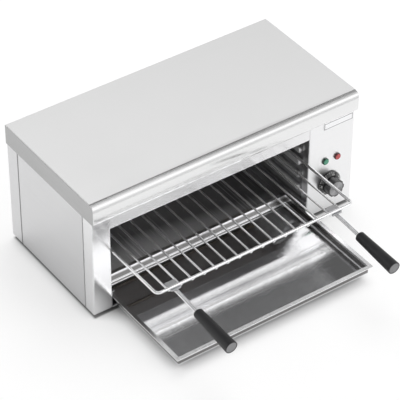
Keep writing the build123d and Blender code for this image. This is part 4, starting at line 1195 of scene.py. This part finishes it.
@dataclass
class Studio:
    """White sweep, soft dome with a dark ring and a bright patch, key light and camera."""

    target: Span = (-0.03081, -0.09673, 0.130)
    back: Span = (-0.4482, -0.6290, 0.6352)
    distance: float = 4.10301
    roll: float = 0.29
    lens: float = 197.4
    sensor: float = 36.0
    floor_size: float = 12.0
    floor_white: float = 0.62
    floor_tone: Rgb = (0.97, 0.97, 0.97)
    shade_reach: float = 0.05
    shade_step: Pair = (0.45, 0.50)
    shade_fade: float = 0.006
    shade_depth: float = 0.85
    near_shadow_depth: float = 0.35
    floor_mirrored: float = 0.5
    ambient: float = 0.94
    key_place: Span = (1.3, 1.0, 4.2)
    key_size: float = 3.2
    key_power: float = 118.0
    ring_starts: Pair = (0.675, 0.705)
    ring_ends: Pair = (0.90, 0.95)
    ring_tone: float = 0.13
    front_step: Pair = (0.15, 0.5)
    high_step: Pair = (0.78, 0.15)
    front_dim: float = 0.28
    side_step: Pair = (0.44, 0.30)
    side_dim: float = 0.25
    box_way: Span = (0.535, -0.576, 0.617)
    box_step: Pair = (0.93, 0.12)
    box_white: float = 2.0

    def set_camera(self) -> None:
        """Puts the camera where the photograph was taken from."""
        back = Vector(self.back).normalized()
        right = Vector((0.0, 0.0, 1.0)).cross(back).normalized()
        up = back.cross(right)
        turn = math.radians(self.roll)
        level, tilt = math.cos(turn), math.sin(turn)
        axes = Matrix((right * level + up * tilt, up * level - right * tilt, back))
        place = axes.transposed().to_4x4()
        place.translation = Vector(self.target) + back * self.distance
        data = bpy.data.cameras.new("camera")
        data.lens = self.lens
        data.sensor_width = self.sensor
        data.clip_end = 50.0
        camera = bpy.data.objects.new("camera", data)
        bpy.context.scene.collection.objects.link(camera)
        camera.matrix_world = place
        bpy.context.scene.camera = camera

    def seen(self, tree: Tree, mirrored: float = 1.0) -> Value:
        """Rays that show a surface rather than light it.

        Args:
            tree: The tree to work in.
            mirrored: How far a glossy ray counts.

        Returns:
            1 for camera, glossy and transmission rays.
        """
        rays = tree.node("ShaderNodeLightPath").outputs
        kinds = ("Camera", "Glossy", "Transmission")
        camera, glossy, through = (Value(tree, rays[f"Is {kind} Ray"]) for kind in kinds)
        return camera.maths("MAXIMUM", glossy * mirrored).maths("MAXIMUM", through)

    def set_world(self) -> None:
        """Lights from a soft dome with a darker ring, white to the camera."""
        world = bpy.data.worlds.new("studio")
        bpy.context.scene.world = world
        world.use_nodes = True
        tree = Tree(world.node_tree)
        way = tree.node("ShaderNodeTexCoord").outputs["Generated"]
        side, depth, height = tree.split(way)
        dark = (self.ring_tone,) * 3
        tones = (WHITE, WHITE, dark, dark, WHITE)
        stops = list(zip((0.0, *self.ring_starts, *self.ring_ends), tones))
        ring = tree.node("ShaderNodeValToRGB", {"stops": stops}, {0: height}).outputs[0]
        front = (depth * -1.0).over(*self.front_step) * (1.0 - height.over(*self.high_step))
        sideways = 1.0 - side.over(*self.side_step) * self.side_dim
        dimmed = tree.scaled(ring, sideways * (1.0 - front * self.front_dim))
        lit = tree.vector("DOT_PRODUCT", {0: way, 1: self.box_way}).outputs["Value"]
        patch = Value(tree, lit).over(*self.box_step)
        dome = tree.mixed(patch, dimmed, (self.box_white,) * 3)
        camera = tree.node("ShaderNodeLightPath").outputs["Is Camera Ray"]
        colour = tree.mixed(camera, dome, WHITE)
        strength = self.ambient + self.seen(tree) * (1.0 - self.ambient)
        sockets = {"Color": colour, "Strength": strength}
        sky = tree.node("ShaderNodeBackground", None, sockets).outputs[0]
        tree.node("ShaderNodeOutputWorld", None, {"Surface": sky})

    def add_key(self) -> None:
        """Adds the square soft key light, which faces the object."""
        data = bpy.data.lights.new("key", "AREA")
        data.size = self.key_size
        data.energy = self.key_power
        lamp = bpy.data.objects.new("key", data)
        bpy.context.scene.collection.objects.link(lamp)
        lamp.visible_glossy = False
        lamp.location = self.key_place
        away = Vector(self.key_place) - Vector(self.target)
        lamp.rotation_euler = away.to_track_quat("Z", "Y").to_euler()

    def beneath(self, across: Value, depth: Value) -> Value:
        """The part of the floor that is under the cabinet.

        Args:
            across: X on the floor.
            depth: Y on the floor.

        Returns:
            1 under the cabinet, fading out past its outline.
        """
        low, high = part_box("base_plate")
        middle, half = (low + high) / 2, (high - low) / 2
        sideways = 1.0 - abs(across - middle.x).over(half.x, self.shade_fade)
        lengthways = 1.0 - abs(depth - middle.y).over(half.y, self.shade_fade)
        return sideways * lengthways

    def lay_floor(self) -> None:
        """Lays the pale floor, with painted shadow under the cabinet and where pieces come near it.
        """
        clear_selection()
        bpy.ops.mesh.primitive_plane_add(size=self.floor_size)
        floor = bpy.context.active_object
        floor.name = "floor"
        material = bpy.data.materials.new("floor_white")
        material.use_nodes = True
        tree = Tree(material.node_tree)
        glow = {"Color": WHITE, "Strength": 1.0}
        white = tree.node("ShaderNodeEmission", None, glow).outputs[0]
        across, depth, _ = tree.split(tree.node("ShaderNodeTexCoord").outputs["Object"])
        under = self.beneath(across, depth) * self.shade_depth
        near = {"Distance": self.shade_reach}
        open_sky = tree.value("ShaderNodeAmbientOcclusion", "AO", {"samples": 16}, near)
        shaded = 1.0 - open_sky.over(*self.shade_step)
        # Painted shadow: the floor's own colour is darkened under the cabinet and where pieces come
        # near it.
        dark = under.maths("MAXIMUM", shaded * self.near_shadow_depth)
        pale = tree.scaled(self.floor_tone, 1.0 - dark)
        matt = tree.node("ShaderNodeBsdfDiffuse", None, {"Color": pale}).outputs[0]
        shown = self.seen(tree, self.floor_mirrored) * self.floor_white
        share = shown * (1.0 - under.maths("MAXIMUM", shaded))
        mixed = tree.node("ShaderNodeMixShader", None, {0: share, 1: matt, 2: white}).outputs[0]
        tree.node("ShaderNodeOutputMaterial", None, {"Surface": mixed})
        floor.data.materials.append(material)

    def build(self) -> None:
        """Sets up the whole studio."""
        bpy.context.scene.view_settings.view_transform = "Standard"
        self.set_camera()
        self.set_world()
        self.add_key()
        self.lay_floor()
        log.info("studio is set")


def main() -> None:
    """Builds and dresses everything."""
    logging.basicConfig(level=logging.INFO, format="%(name)s: %(message)s")
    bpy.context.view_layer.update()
    for assembly in (Studio, Cabinet, GrillSpace, CrumbTray, Rack, ThermostatKnob, Electrics):
        assembly().build()
        log.info("%s done", assembly.__name__)
    clear_selection()


if __name__ == "__main__":
    main()
